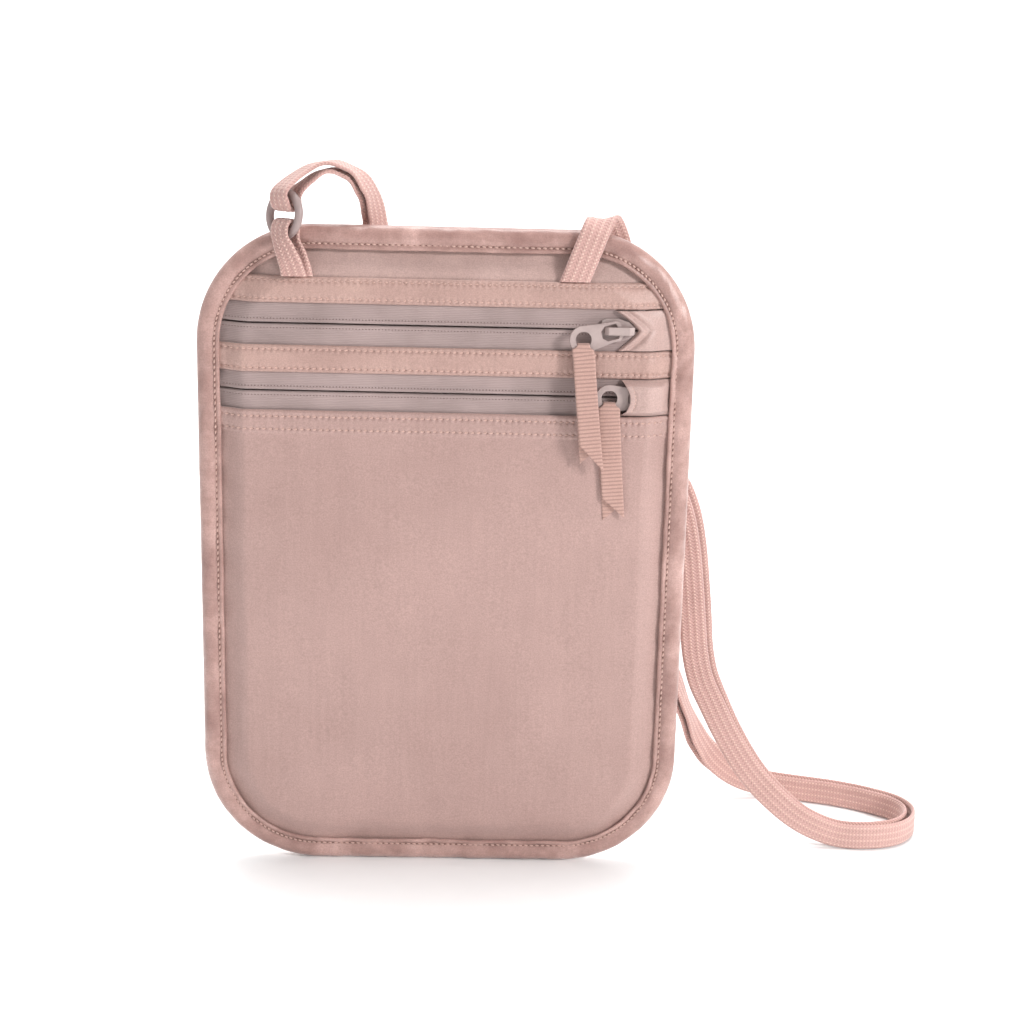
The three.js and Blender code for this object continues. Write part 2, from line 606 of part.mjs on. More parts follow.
// ---- neck strap ----
// Sewn in at the right, over the top edge and down the back, then doubled: out at the right side,
// round a loop on the table, back behind the pouch, up over the top edge and to the ring, which it
// passes through to return beside itself. Its end is sewn to it behind the pouch.
// The doubled run's middle line: [x, y, z] and the direction across the strap, with half the
// distance between its two layers, and where it has one, half their sideways shift.
const doubledRun = [
  [52.5, 5.2, 66, 1, 0, 0, 1.0],
  [52.5, 5.5, 58, 1, 0, 0, 1.3],
  [52.5, 5.5, 38, 1, 0, 0, 1.3],
  [57, 5.9, 33.5, 1, 0, 0.6, 1.5],
  [64, 6.4, 28, 0.8, 0, 0.8, 1.6, 0.6],
  [70, 6.9, 20.5, 1, 0, 0.6, 1.7, 1.1],
  [73.8, 7.5, 12, 1, 0, 0.35, 1.7, 1.2],
  [76.2, 8.1, 2, 1, 0, 0.2, 1.7, 1.2],
  [78.4, 9, -13.7, 1, 0, 0.12, 1.7, 1.2],
  [79.6, 9.8, -24, 1, 0, 0.12, 1.7, 1.2],
  [80.8, 10.6, -34, 1, 0, 0.2, 1.7, 1.1],
  [83, 11.1, -43, 1, 0, 0.35, 1.6, 1.0],
  [86.6, 11.6, -51, 1, 0, 0.45, 1.6, 0.8],
  [92.3, 12, -62.4, 1, 0, 0.55, 1.5, 0.6],
  [100, 11.5, -74.5, 1, 0, 0.75, 1.5, 0.4],
  [107.8, 10, -83, 0.9, 0, 0.9, 1.45, 0.2],
  [117, 8.4, -90, 0.5, 0, 1, 1.4],
  [128, 6.8, -94, 0.15, 0, 1, 1.35],
  [138.7, 6, -94.3, 0, 0, 1, 1.35],
  [148.2, 9, -94.3, 0, 0, 1, 1.35],
  [153.6, 15, -94.3, 0, 0, 1, 1.35],
  [155.2, 21.5, -94.3, 0, 0, 1, 1.35],
  [152.8, 28, -94.3, 0, 0, 1, 1.35],
  [144.9, 34.5, -94.3, 0, 0, 1, 1.35],
  [134.2, 40, -94.3, 0, 0, 1, 1.35],
  [122.5, 43.8, -94.3, 0, 0, 1, 1.4],
  [111.9, 46.4, -93.8, 0.05, 0, 1, 1.4],
  [102.6, 46, -91, 0.3, 0, 1, 1.45],
  [93.9, 44, -84.8, 0.65, 0.25, 1, 1.4],
  [86.7, 40, -75.6, 0.45, 0.7, 0.7, 1.2],
  [80.8, 35, -63, 0.2, 0.87, 0.42, 1.05],
  [75.6, 30, -49.5, 0.3, 0.85, 0.42, 1.1],
  [66, 24.5, -31, 0.8, 0.4, 0.5, 1.5],
  [49, 18.5, -10, 1, 0, 0.6, 1.7],
  [29, 13, 14, 1, 0, 0.75, 1.7],
  [8, 9.6, 38, 1, 0, 0.75, 1.7],
  [-9, 7.8, 60, 1, 0.1, 0.5, 1.7],
  [-18, 7, 78, 1, 0.3, 0.2, 1.65],
  [-21.3, 5.4, 92, 0.8, 0.55, 0, 1.5],
  [-22, 2.4, 101.5, 0.54, 0.84, 0, 1.2],
  [-24.6, -0.8, 109, 0.45, 0.9, 0, 1.15],
  [-30, -3.6, 113.6, 0.25, 0.97, 0, 1.15],
  [-36, -6, 114.3, 0, 1, 0, 1.2],
  [-40.8, -8, 111.8, -0.45, 0.85, 0, 1.6],
];

// The two layers of the doubled run, one on each side of its middle line.
function layersOf(run) {
  const middle = run.map(([x, y, z]) => v3(x, y, z));
  return run.map(([, , , wx, wy, wz, apart, shift = 0], k) => {
    const along = middle[Math.min(k + 1, run.length - 1)].clone().sub(middle[Math.max(k - 1, 0)]).normalize();
    const wide = v3(wx, wy, wz).addScaledVector(along, -v3(wx, wy, wz).dot(along)).normalize();
    const off = along.clone().cross(wide).multiplyScalar(apart).addScaledVector(wide, -shift);
    return {
      first: { at: middle[k].clone().add(off), wide },
      second: { at: middle[k].clone().sub(off), wide },
    };
  });
}

const anchorRun = [
  [36.8, PANEL_FRONT.flat - 0.2, FACING_TOP + GAP, 1, 0, 0],
  [38.7, PANEL_FRONT.flat - 0.25, 89, 1, 0, -0.35],
  [41.0, -10.2, 94.8, 1, 0, -0.35],
  [42.6, -8.9, 98.7, 1, 0.05, -0.3],
  [43.9, -6.4, 100.8, 1, 0.3, 0],
  [45.6, -3.4, 101, 0.95, 0.3, 0.1],
  [47.6, -0.3, 98.6, 0.95, 0.15, 0.25],
  [50, 2.0, 92.4, 1, 0, 0.35],
  [51.8, 3.4, 84, 1, 0, 0.2],
  [52.5, 4.2, 75, 1, 0, 0],
].map(([x, y, z, wx, wy, wz]) => ({ at: v3(x, y, z), wide: v3(wx, wy, wz) }));

const legOut = RING_WIRE + GAP + STRAP_THICK / 2 + 0.05;
const turnUp = 1.45;
const backAcross = ringAcross.clone().negate();
const legAcross = v3(-0.64, 0.77, 0);
const legSpread = 0.55;
const ringTurn = [
  [6.0, -legOut - legSpread, legAcross],
  [3.4, -legOut, backAcross],
  [turnUp + 0.45, legOut * -0.6, backAcross],
  [turnUp, 0, backAcross],
  [turnUp + 0.45, legOut * 0.6, backAcross],
  [3.4, legOut, backAcross],
  [6.0, legOut + legSpread, legAcross],
].map(([up, out, wide]) => ({ at: byRing(0, up, out), wide }));

const layers = layersOf(doubledRun);
add('neck_strap', strapGeometry([
  ...anchorRun,
  ...layers.map(({ first }) => first),
  ...ringTurn,
  ...layers.map(({ second }) => second).reverse(),
], STRAP_WIDTH, STRAP_THICK), braid);

// ---- strap keeper: a flat moulded slide with a slot for each layer ----
const KEEPER_Z = 50;
const KEEPER_TALL = 7;
const SLOT_HALF = STRAP_THICK / 2 + GAP;
const keeperShape = new THREE.Shape([
  [-5.9, -2.9], [5.9, -2.9], [6.5, -2.3], [6.5, 2.3],
  [5.9, 2.9], [-5.9, 2.9], [-6.5, 2.3], [-6.5, -2.3],
].map(([x, y]) => new THREE.Vector2(x, y)));
for (const y of [-1.3, 1.3]) {
  const slot = new THREE.Path([[-5, y], [-4.5, y + SLOT_HALF], [4.5, y + SLOT_HALF], [5, y],
    [4.5, y - SLOT_HALF], [-4.5, y - SLOT_HALF]].map(([x, yy]) => new THREE.Vector2(x, yy)));
  keeperShape.holes.push(slot);
}
const keeper = new THREE.ExtrudeGeometry(keeperShape, { depth: KEEPER_TALL, bevelEnabled: false });
keeper.translate(52.5, 5.5, KEEPER_Z - KEEPER_TALL / 2);
add('strap_keeper', keeper, plastic);

export default part;
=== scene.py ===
"""Looks for a neck pouch wallet: satin panels, bound edges, two zips, ribbon pulls and a braided neck strap.

Shapes are worked out in millimetres in the part's own frame and turned into metres when a mesh is made.
"""

import json
import math

import bmesh
import bpy
import numpy as np
from mathutils import Matrix, Vector, noise


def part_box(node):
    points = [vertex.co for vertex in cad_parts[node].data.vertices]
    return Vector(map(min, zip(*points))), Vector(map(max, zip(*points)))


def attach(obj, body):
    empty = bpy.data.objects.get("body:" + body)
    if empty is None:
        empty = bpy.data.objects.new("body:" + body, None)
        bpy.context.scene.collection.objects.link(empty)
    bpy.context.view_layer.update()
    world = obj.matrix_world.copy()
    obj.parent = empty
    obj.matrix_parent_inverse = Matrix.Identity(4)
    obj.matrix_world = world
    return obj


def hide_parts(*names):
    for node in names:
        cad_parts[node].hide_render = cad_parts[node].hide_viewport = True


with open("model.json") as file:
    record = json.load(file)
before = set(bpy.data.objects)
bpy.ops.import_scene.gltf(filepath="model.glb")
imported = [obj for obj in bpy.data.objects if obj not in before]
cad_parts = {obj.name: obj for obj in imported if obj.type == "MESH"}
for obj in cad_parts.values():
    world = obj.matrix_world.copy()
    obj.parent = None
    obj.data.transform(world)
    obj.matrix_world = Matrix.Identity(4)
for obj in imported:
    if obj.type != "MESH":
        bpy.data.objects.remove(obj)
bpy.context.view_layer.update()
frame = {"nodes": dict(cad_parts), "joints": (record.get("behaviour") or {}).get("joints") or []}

MM = 0.001


# ---- sizes from the frame, in mm ----
def low(node):
    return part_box(node)[0] / MM


def high(node):
    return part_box(node)[1] / MM


SIDE = high("edge_binding").x
TOP = high("edge_binding").z
CORNER = 35.0
CLOTH = 0.5
BINDING_FRONT = low("edge_binding").y
BINDING_BACK = high("edge_binding").y
BINDING_WIDTH = 7.0
PANEL_Y = low("front_panel").y
TAPE_Y = low("upper_zip_tape_bottom").y
PANEL_EDGE_Y = high("front_panel").y - CLOTH
TAPE_EDGE_Y = high("upper_zip_tape_bottom").y - CLOTH
BACK_Y = high("back_panel").y
BACK_EDGE_Y = low("back_panel").y + CLOTH
UPPER_FACING = (low("upper_facing_strip").z, high("upper_facing_strip").z)
MIDDLE_FACING = (low("middle_facing_strip").z, high("middle_facing_strip").z)
PANEL_TOP = high("front_panel").z
UPPER_ZIP = (low("upper_slider").z + high("upper_slider").z) / 2
LOWER_ZIP = (low("lower_slider").z + high("lower_slider").z) / 2
SLOPE_START = 6.3
SLOPE_END = 15.0
FLOOR_Z = low("edge_binding").z


# ---- camera ----
def make_camera():
    azimuth, elevation, roll = (math.radians(a) for a in (-1.2, 13.8, -1.4))
    forward = Vector((
        -math.sin(azimuth) * math.cos(elevation),
        math.cos(azimuth) * math.cos(elevation),
        -math.sin(elevation),
    ))
    level = Vector((math.cos(azimuth), math.sin(azimuth), 0))
    upright = level.cross(forward)
    right = level * math.cos(roll) - upright * math.sin(roll)
    up = upright * math.cos(roll) + level * math.sin(roll)
    data = bpy.data.cameras.new("camera")
    data.lens = 58.3
    data.sensor_width = 36.0
    data.clip_start = 0.01
    data.clip_end = 20.0
    camera = bpy.data.objects.new("camera", data)
    turn = Matrix((right, up, -forward)).transposed()
    place = Vector((10.26, -489.3, 133.0)) * MM
    camera.matrix_world = Matrix.Translation(place) @ turn.to_4x4()
    bpy.context.scene.collection.objects.link(camera)
    bpy.context.scene.camera = camera


# ---- node helpers ----
class Nodes:
    """A material's nodes, made with short calls. Every call gives back an output socket."""

    def __init__(self, name):
        self.material = bpy.data.materials.new(name)
        self.material.use_nodes = True
        self.tree = self.material.node_tree
        self.shader = self.tree.nodes["Principled BSDF"]

    def add(self, kind, **settings):
        node = self.tree.nodes.new(kind)
        for key, value in settings.items():
            setattr(node, key, value)
        return node

    def feed(self, socket, value):
        if hasattr(value, "is_output"):
            self.tree.links.new(value, socket)
        else:
            socket.default_value = value

    def math(self, operation, a, b=0.0, c=0.0):
        node = self.add("ShaderNodeMath", operation=operation)
        for socket, value in zip(node.inputs, (a, b, c)):
            self.feed(socket, value)
        return node.outputs[0]

    def place(self, scale=(1, 1, 1), turn=(0, 0, 0), uv=False):
        """Coordinates in millimetres: the row frame's, or with uv the strip's own (across, along)."""
        source = self.add("ShaderNodeTexCoord").outputs["UV" if uv else "Object"]
        node = self.add("ShaderNodeMapping")
        self.feed(node.inputs["Vector"], source)
        node.inputs["Rotation"].default_value = turn
        node.inputs["Scale"].default_value = scale if uv else [s / MM for s in scale]
        return node.outputs[0]

    def noise(self, where, scale, detail=3.0, rough=0.55):
        node = self.add("ShaderNodeTexNoise")
        self.feed(node.inputs["Vector"], where)
        node.inputs["Scale"].default_value = scale
        node.inputs["Detail"].default_value = detail
        node.inputs["Roughness"].default_value = rough
        return node.outputs["Fac"]

    def wave(self, where, scale, direction="X", distortion=0.0):
        node = self.add("ShaderNodeTexWave", wave_type="BANDS", bands_direction=direction)
        self.feed(node.inputs["Vector"], where)
        node.inputs["Scale"].default_value = scale
        node.inputs["Distortion"].default_value = distortion
        node.inputs["Detail Scale"].default_value = 1.5
        return node.outputs["Fac"]

    def ramp(self, value, *stops):
        """stops are (position, colour) pairs; a colour is an 8-bit sRGB triple."""
        node = self.add("ShaderNodeValToRGB")
        self.feed(node.inputs["Fac"], value)
        ramp = node.color_ramp
        while len(ramp.elements) < len(stops):
            ramp.elements.new(0.5)
        for element, (position, colour) in zip(ramp.elements, stops):
            element.position = position
            element.color = (*linear(colour), 1.0)
        return node.outputs["Color"]

    def span(self, value, from_low, from_high, to_low, to_high):
        node = self.add("ShaderNodeMapRange")
        self.feed(node.inputs["Value"], value)
        for key, number in zip(("From Min", "From Max", "To Min", "To Max"), (from_low, from_high, to_low, to_high)):
            node.inputs[key].default_value = number
        return node.outputs["Result"]

    def mix(self, share, a, b, blend="MIX"):
        node = self.add("ShaderNodeMix", data_type="RGBA", blend_type=blend)
        self.feed(node.inputs["Factor"], share)
        self.feed(node.inputs["A"], a)
        self.feed(node.inputs["B"], b)
        return node.outputs["Result"]

    def bump(self, height, strength, distance_mm, under=None):
        node = self.add("ShaderNodeBump")
        node.inputs["Strength"].default_value = strength
        node.inputs["Distance"].default_value = distance_mm * MM
        self.feed(node.inputs["Height"], height)
        if under is not None:
            self.feed(node.inputs["Normal"], under)
        return node.outputs[0]

    def finish(self, colour, roughness, normal, **constants):
        self.feed(self.shader.inputs["Base Color"], colour)
        self.feed(self.shader.inputs["Roughness"], roughness)
        if normal is not None:
            self.feed(self.shader.inputs["Normal"], normal)
        for key, value in constants.items():
            self.shader.inputs[key.replace("_", " ")].default_value = value
        return self.material


def linear(colour):
    """An 8-bit sRGB triple as linear values."""
    shares = [c / 255 for c in colour]
    return tuple(c / 12.92 if c <= 0.04045 else ((c + 0.055) / 1.055) ** 2.4 for c in shares)


# ---- materials ----
def satin(name, dark, mid, light, roughness=0.42, patch=0.035):
    """Warp-faced satin: very fine slanted floats, slubs, soft patches of tone, and a fine grain speckle whose bright
    specks are painted glints. Where the dark-to-light range is wide, as on the binding, the patches are painted
    sheen.
    """
    n = Nodes(name)
    where = n.place()
    floats = n.wave(n.place(turn=(0, math.radians(24), 0)), 2.6, "X", 1.2)
    across = n.wave(where, 1.7, "Z", 0.8)
    slub = n.noise(n.place(scale=(0.25, 0.25, 2.2)), 1.3, 4.0)
    grain = n.noise(where, 2.4, 2.0)
    # tone: random patches of colour; on the binding, with its wide range, they are painted sheen.
    tone = n.noise(where, patch, 3.0, 0.6)
    base = n.ramp(tone, (0.3, dark), (0.5, mid), (0.72, light))
    # fine: the weave's grain speckle in the colour; its bright specks are painted glints of the satin.
    fine = n.span(grain, 0.25, 0.75, 0.83, 1.13)
    streak = n.noise(n.place(scale=(1.1, 1, 0.05)), 0.8, 2.0)
    thread = n.math("MULTIPLY", n.span(slub, 0.3, 0.7, 0.965, 1.03), n.span(streak, 0.3, 0.7, 0.975, 1.02))
    colour = n.mix(1.0, base, n.math("MULTIPLY", fine, thread), "MULTIPLY")
    height = n.math("ADD", n.math("MULTIPLY", floats, 0.5), n.math("MULTIPLY", across, 0.25))
    height = n.math("ADD", height, n.math("MULTIPLY", grain, 0.5))
    crease = n.bump(n.noise(n.place(scale=(1, 1, 0.45)), 0.11, 3.0), 0.35, 1.1)
    normal = n.bump(height, 0.25, 0.06, crease)
    shine = n.span(tone, 0.3, 0.7, roughness + 0.05, roughness - 0.04)
    return n.finish(colour, shine, normal, Sheen_Weight=0.25, Sheen_Roughness=0.4, Specular_IOR_Level=0.42)


def zip_tape(name):
    """Woven polyester tape: fine ribs along its length and a herringbone across them, with painted shade in their
    grooves and painted highlight on their tops.
    """
    n = Nodes(name)
    where = n.place()
    ribs = n.wave(where, 0.62, "Z", 0.15)
    left = n.wave(n.place(turn=(0, math.radians(35), 0)), 1.1, "X", 0.2)
    right = n.wave(n.place(turn=(0, math.radians(-35), 0)), 1.1, "X", 0.2)
    fibre = n.noise(n.place(scale=(0.4, 1, 2.5)), 1.6, 3.0)
    tone = n.noise(where, 0.06, 2.0)
    weave = n.math("MULTIPLY", n.math("MAXIMUM", left, right), 0.35)
    height = n.math("ADD", n.math("MULTIPLY", ribs, 0.6), weave)
    height = n.math("ADD", height, n.math("MULTIPLY", fibre, 0.3))
    base = n.ramp(tone, (0.3, (149, 130, 127)), (0.5, (159, 139, 136)), (0.7, (169, 148, 145)))
    # Painted shade and highlight: the colour follows the weave's height, darker in the grooves, lighter on the ribs.
    painted_weave_shade = n.span(height, 0.2, 1.1, 0.8, 1.1)
    colour = n.mix(1.0, base, painted_weave_shade, "MULTIPLY")
    normal = n.bump(height, 0.5, 0.12)
    return n.finish(colour, n.span(fibre, 0.3, 0.7, 0.82, 0.7), normal, Sheen_Weight=0.2)


def enamel(name):
    """Baked satin paint over die-cast metal: faint orange peel, and a lighter colour towards sharp edges."""
    n = Nodes(name)
    where = n.place()
    peel = n.noise(where, 1.1, 2.0)
    dust = n.noise(where, 6.0, 3.0)
    tone = n.noise(where, 0.25, 2.0)
    base = n.ramp(tone, (0.3, (143, 122, 120)), (0.6, (161, 140, 137)))
    # Lighter colour towards sharp edges, by the mesh's pointiness.
    edge = n.span(n.add("ShaderNodeNewGeometry").outputs["Pointiness"], 0.5, 0.62, 0.0, 0.55)
    colour = n.mix(edge, base, (*linear((188, 172, 167)), 1.0))
    normal = n.bump(n.math("ADD", peel, n.math("MULTIPLY", dust, 0.2)), 0.12, 0.08)
    return n.finish(colour, n.span(dust, 0.3, 0.7, 0.34, 0.46), normal, Specular_IOR_Level=0.55, Coat_Weight=0.12)


def moulded(name, dark, light, roughness=0.42):
    """Injection-moulded acetal with faint flow marks."""
    n = Nodes(name)
    where = n.place()
    flow = n.noise(n.place(scale=(1, 1, 0.3)), 0.35, 3.0)
    fine = n.noise(where, 4.0, 2.0)
    colour = n.ramp(flow, (0.3, dark), (0.7, light))
    normal = n.bump(n.math("ADD", flow, n.math("MULTIPLY", fine, 0.35)), 0.15, 0.1)
    return n.finish(colour, n.span(fine, 0.3, 0.7, roughness - 0.05, roughness + 0.06), normal)


def grosgrain(name):
    """Ribbed ribbon. Its ribs are in the mesh; the material adds the yarns that run along it and painted shade in
    the valleys between the ribs.
    """
    n = Nodes(name)
    uv = n.place(uv=True)
    parts = n.add("ShaderNodeSeparateXYZ")
    n.feed(parts.inputs[0], uv)
    rib = n.math("SINE", n.math("MULTIPLY", parts.outputs["Y"], 2 * math.pi / RIB_PITCH))
    yarn = n.math("SINE", n.math("MULTIPLY", parts.outputs["X"], 2 * math.pi / 0.34))
    fuzz = n.noise(n.place(), 3.0, 3.0)
    # Painted shade: the colour is darkened in the valleys between the ribs.
    painted_valley_shade = n.span(rib, -1.0, 0.1, 0.72, 1.0)
    base = n.ramp(fuzz, (0.3, (178, 140, 130)), (0.7, (193, 155, 143)))
    colour = n.mix(1.0, base, painted_valley_shade, "MULTIPLY")
    normal = n.bump(n.math("ADD", yarn, n.math("MULTIPLY", fuzz, 1.5)), 0.35, 0.05)
    return n.finish(colour, n.span(fuzz, 0.3, 0.7, 0.62, 0.78), normal, Sheen_Weight=0.3)


def braid(name):
    """Flat tubular braid: wales of slanted yarns with painted shade between them, and a painted highlight on the
    raised crossing where two wales meet.
    """
    n = Nodes(name)
    parts = n.add("ShaderNodeSeparateXYZ")
    n.feed(parts.inputs[0], n.place(uv=True))
    across, along = parts.outputs["X"], parts.outputs["Y"]
    in_wale = n.math("PINGPONG", n.math("ADD", across, BRAID_WALE * 10), BRAID_WALE / 2)
    slanted = n.math("ADD", along, n.math("MULTIPLY", in_wale, 0.8))
    yarn = n.math("SINE", n.math("MULTIPLY", slanted, 2 * math.pi / BRAID_PITCH))
    at_middle = n.span(in_wale, BRAID_WALE * 0.3, BRAID_WALE * 0.46, 0.0, 1.0)
    stepping = n.math("SINE", n.math("MULTIPLY", along, 2 * math.pi / BRAID_PITCH))
    dot = n.math("MULTIPLY", at_middle, n.span(stepping, 0.0, 0.6, 0.0, 1.0))
    fuzz = n.noise(n.place(), 3.4, 3.0)
    tone = n.noise(n.place(), 0.05, 2.0)
    base = n.ramp(tone, (0.3, (187, 147, 139)), (0.7, (199, 158, 150)))
    # Painted shade between the slanted yarns, times a random fuzz tone.
    painted_weave_shade = n.math("MULTIPLY", n.span(yarn, -1.0, 0.6, 0.9, 1.02), n.span(fuzz, 0.2, 0.8, 0.95, 1.05))
    colour = n.mix(1.0, base, painted_weave_shade, "MULTIPLY")
    # Painted highlight: the raised crossings are mixed towards a pale colour.
    colour = n.mix(n.math("MULTIPLY", dot, 0.7), colour, (*linear((240, 208, 194)), 1.0))
    height = n.math("ADD", yarn, n.math("MULTIPLY", dot, 0.9))
    height = n.math("ADD", height, n.math("MULTIPLY", fuzz, 0.6))
    normal = n.bump(height, 0.6, 0.12)
    return n.finish(colour, n.span(fuzz, 0.3, 0.7, 0.66, 0.82), normal, Sheen_Weight=0.3)


def thread(name, dark, light):
    """Twisted sewing thread."""
    n = Nodes(name)
    twist = n.wave(n.place(turn=(0, math.radians(40), 0)), 2.4, "X", 0.4)
    fuzz = n.noise(n.place(), 5.0, 2.0)
    colour = n.ramp(n.math("MULTIPLY", n.math("ADD", twist, fuzz), 0.5), (0.3, dark), (0.7, light))
    normal = n.bump(twist, 0.5, 0.05)
    return n.finish(colour, n.span(fuzz, 0.3, 0.7, 0.55, 0.7), normal, Sheen_Weight=0.2)


def floor_material(name):
    n = Nodes(name)
    grain = n.noise(n.place(), 0.08, 2.0)
    colour = n.ramp(grain, (0.3, (250, 250, 250)), (0.7, (252, 252, 252)))
    return n.finish(colour, n.span(grain, 0.3, 0.7, 0.85, 0.9), n.bump(grain, 0.02, 0.1), Specular_IOR_Level=0.1)


RIB_PITCH = 1.12
BRAID_WALE = 2.1
BRAID_PITCH = 1.1
SATIN = satin("satin", (167, 136, 129), (173, 142, 135), (180, 148, 141), 0.42, 0.02)
# A lighter copy of the same satin: painted light on the top panel and the zip end tabs.
SATIN_PAINTED_LIGHT = satin("satin_painted_light", (172, 143, 136), (180, 151, 144), (188, 159, 152), 0.4)
FACING = satin("facing", (169, 137, 128), (177, 144, 135), (186, 153, 143), 0.46)
# The binding's wide dark-to-light range paints its satin sheen as bright and dark patches of colour.
BINDING_PAINTED_SHEEN = satin("binding", (150, 115, 108), (171, 136, 128), (197, 161, 153), 0.3, 0.085)
LINING = satin("lining", (164, 133, 126), (174, 143, 136), (182, 152, 144), 0.6)
TAPE = zip_tape("zip_tape")
ENAMEL = enamel("enamel")
NYLON = moulded("coil_nylon", (140, 120, 117), (158, 138, 134), 0.38)
RING_PLASTIC = moulded("ring_plastic", (146, 128, 126), (161, 142, 139))
RIBBON = grosgrain("grosgrain")
BRAID = braid("braid")
THREAD = thread("thread", (186, 150, 139), (212, 178, 166))
# Dark spindles that paint the shade in the needle holes between stitches.
STITCH_GAP_SHADE = thread("stitch_gap_shade", (114, 80, 72), (138, 101, 92))
TAPE_THREAD = thread("tape_thread", (96, 76, 74), (122, 100, 97))


# ---- mesh helpers ----
def new_piece(name, vertices, faces, material, body="pouch", stands_for=(), uv=None):
    """A smooth-shaded mesh from vertices in mm, riding on a body."""
    mesh = bpy.data.meshes.new(name)
    mesh.from_pydata(np.asarray(vertices, float) * MM, [], faces)
    mesh.materials.append(material)
    mesh.polygons.foreach_set("use_smooth", [True] * len(mesh.polygons))
    if uv is not None:
        loops = np.zeros(len(mesh.loops), int)
        mesh.loops.foreach_get("vertex_index", loops)
        layer = mesh.uv_layers.new(name="strip")
        layer.data.foreach_set("uv", np.asarray(uv, float)[loops].ravel())
    mesh.update()
    piece = bpy.data.objects.new(name, mesh)
    bpy.context.scene.collection.objects.link(piece)
    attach(piece, body)
    if stands_for:
        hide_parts(*stands_for)
    return piece


def tube_faces(rings, around, closed_ends=True, closed_path=False):
    """Quads over rings of around vertices each, facing out when the rings run anticlockwise seen from ahead."""
    faces = []
    spans = rings if closed_path else rings - 1
    for ring in range(spans):
        a = ring * around
        b = (ring + 1) % rings * around
        for k in range(around):
            m = (k + 1) % around
            faces.append((a + k, a + m, b + m, b + k))
    if closed_ends and not closed_path:
        last = (rings - 1) * around
        faces.append(tuple(reversed(range(around))))
        faces.append(tuple(range(last, last + around)))
    return faces


def depth_inside(x, z):
    """How far a point lies inside the pouch's outline, in mm."""
    qx = abs(x) - (SIDE - CORNER)
    qz = abs(z) - (TOP - CORNER)
    outside = math.hypot(max(qx, 0), max(qz, 0))
    return CORNER - outside - min(max(qx, qz), 0)


def half_width(z, inset):
    up = abs(z) - (TOP - CORNER)
    r = CORNER - inset
    if up <= 0:
        return SIDE - inset
    return SIDE - CORNER + math.sqrt(max(r * r - up * up, 0))


def smooth(t):
    c = min(max(t, 0), 1)
    return c * c * (3 - 2 * c)


def layer_y(flat, edge, x, z):
    t = (depth_inside(x, z) - SLOPE_START) / (SLOPE_END - SLOPE_START)
    return edge + (flat - edge) * smooth(t)


def wrinkle(x, z, size, seed):
    return noise.noise(Vector((x / size, z / size, seed)))


def pucker(x, z, seed, reach=9.0):
    """Small pulls square to the binding's stitches, fading inwards."""
    inside = depth_inside(x, z) - BINDING_WIDTH
    fade = math.exp(-max(inside, 0) / reach)
    around = math.atan2(z, x) * 70
    return fade * noise.noise(Vector((around / 5.5, inside / 25, seed)))


def spread(start, end, step):
    """Values from start to end no more than step apart."""
    count = max(1, math.ceil(abs(end - start) / step))
    return [start + (end - start) * k / count for k in range(count + 1)]


def cloth_piece(name, zs, shares, front, material, stands_for=(), left=None, right=None, thick=CLOTH, body="pouch"):
    """A closed shell of cloth over a grid: front(x, z) is its outer face."""
    left = left or (lambda z: -half_width(z, 1.2))
    right = right or (lambda z: half_width(z, 1.2))
    cols = len(shares)
    rows = len(zs)
    places = [(left(z) + (right(z) - left(z)) * s, z) for z in zs for s in shares]
    outer = [(x, front(x, z), z) for x, z in places]
    inner = [(x, y + thick, z) for x, y, z in outer]
    size = rows * cols
    faces = []
    for r in range(rows - 1):
        for c in range(cols - 1):
            a, b = r * cols + c, r * cols + c + 1
            d, e = a + cols, b + cols
            faces.append((a, b, e, d))
            faces.append((a + size, d + size, e + size, b + size))
    rim = [c for c in range(cols)]
    rim += [r * cols + cols - 1 for r in range(1, rows)]
    rim += [(rows - 1) * cols + c for c in range(cols - 2, -1, -1)]
    rim += [r * cols for r in range(rows - 2, 0, -1)]
    for k, a in enumerate(rim):
        b = rim[(k + 1) % len(rim)]
        faces.append((b, a, a + size, b + size))
    return new_piece(name, outer + inner, faces, material, body, stands_for)


def even_shares(count):
    return [k / count for k in range(count + 1)]


# ---- stitches ----
def stitch_piece(name, places, material, length=1.25, width=0.42, height=0.34, body="pouch"):
    """Stitches as small spindles. places are (point, along, out) with unit vectors."""
    sides, rings = 6, 5
    vertices, faces = [], []
    for point, along, out in places:
        point, along, out = Vector(point), Vector(along).normalized(), Vector(out).normalized()
        across = along.cross(out)
        start = len(vertices)
        for ring in range(rings):
            t = ring / (rings - 1) * 2 - 1
            swell = math.sqrt(max(1 - t * t, 0)) * 0.85 + 0.15
            middle = point + along * (t * length / 2) + out * (height * 0.35 * swell - 0.06)
            for k in range(sides):
                a = 2 * math.pi * k / sides
                offset = across * (math.cos(a) * width / 2 * swell) + out * (math.sin(a) * height / 2 * swell)
                vertices.append(middle + offset)
        faces += [tuple(start + k for k in face) for face in tube_faces(rings, sides)]
    return new_piece(name, vertices, faces, material, body)


def sew(name, places, pitch):
    """A lockstitch seam: raised thread, with dark spindles between stitches as painted shade of the needle holes."""
    stitch_piece(f"{name}_thread", places, THREAD, length=pitch * 0.74, width=0.56, height=0.46)
    # Painted shade: a dark spindle at each needle hole between two stitches.
    gap_shades = []
    for (point, along, out), (after, _, _) in zip(places, places[1:]):
        middle = (Vector(point) + Vector(after)) / 2 + Vector(out) * 0.02
        if (Vector(point) - Vector(after)).length < 2 * pitch:
            gap_shades.append((middle, Vector(along) + Vector((0, 0, 0.5)) * Vector(along).x, out))
    stitch_piece(f"{name}_holes", gap_shades, STITCH_GAP_SHADE, length=pitch * 0.46, width=0.46, height=0.3)


def scallop(x, off, pitch, reach=0.9):
    """The cloth's rise between stitches close to a seam."""
    return 0.18 * math.exp(-((off / reach) ** 2)) * math.cos(2 * math.pi * x / pitch)


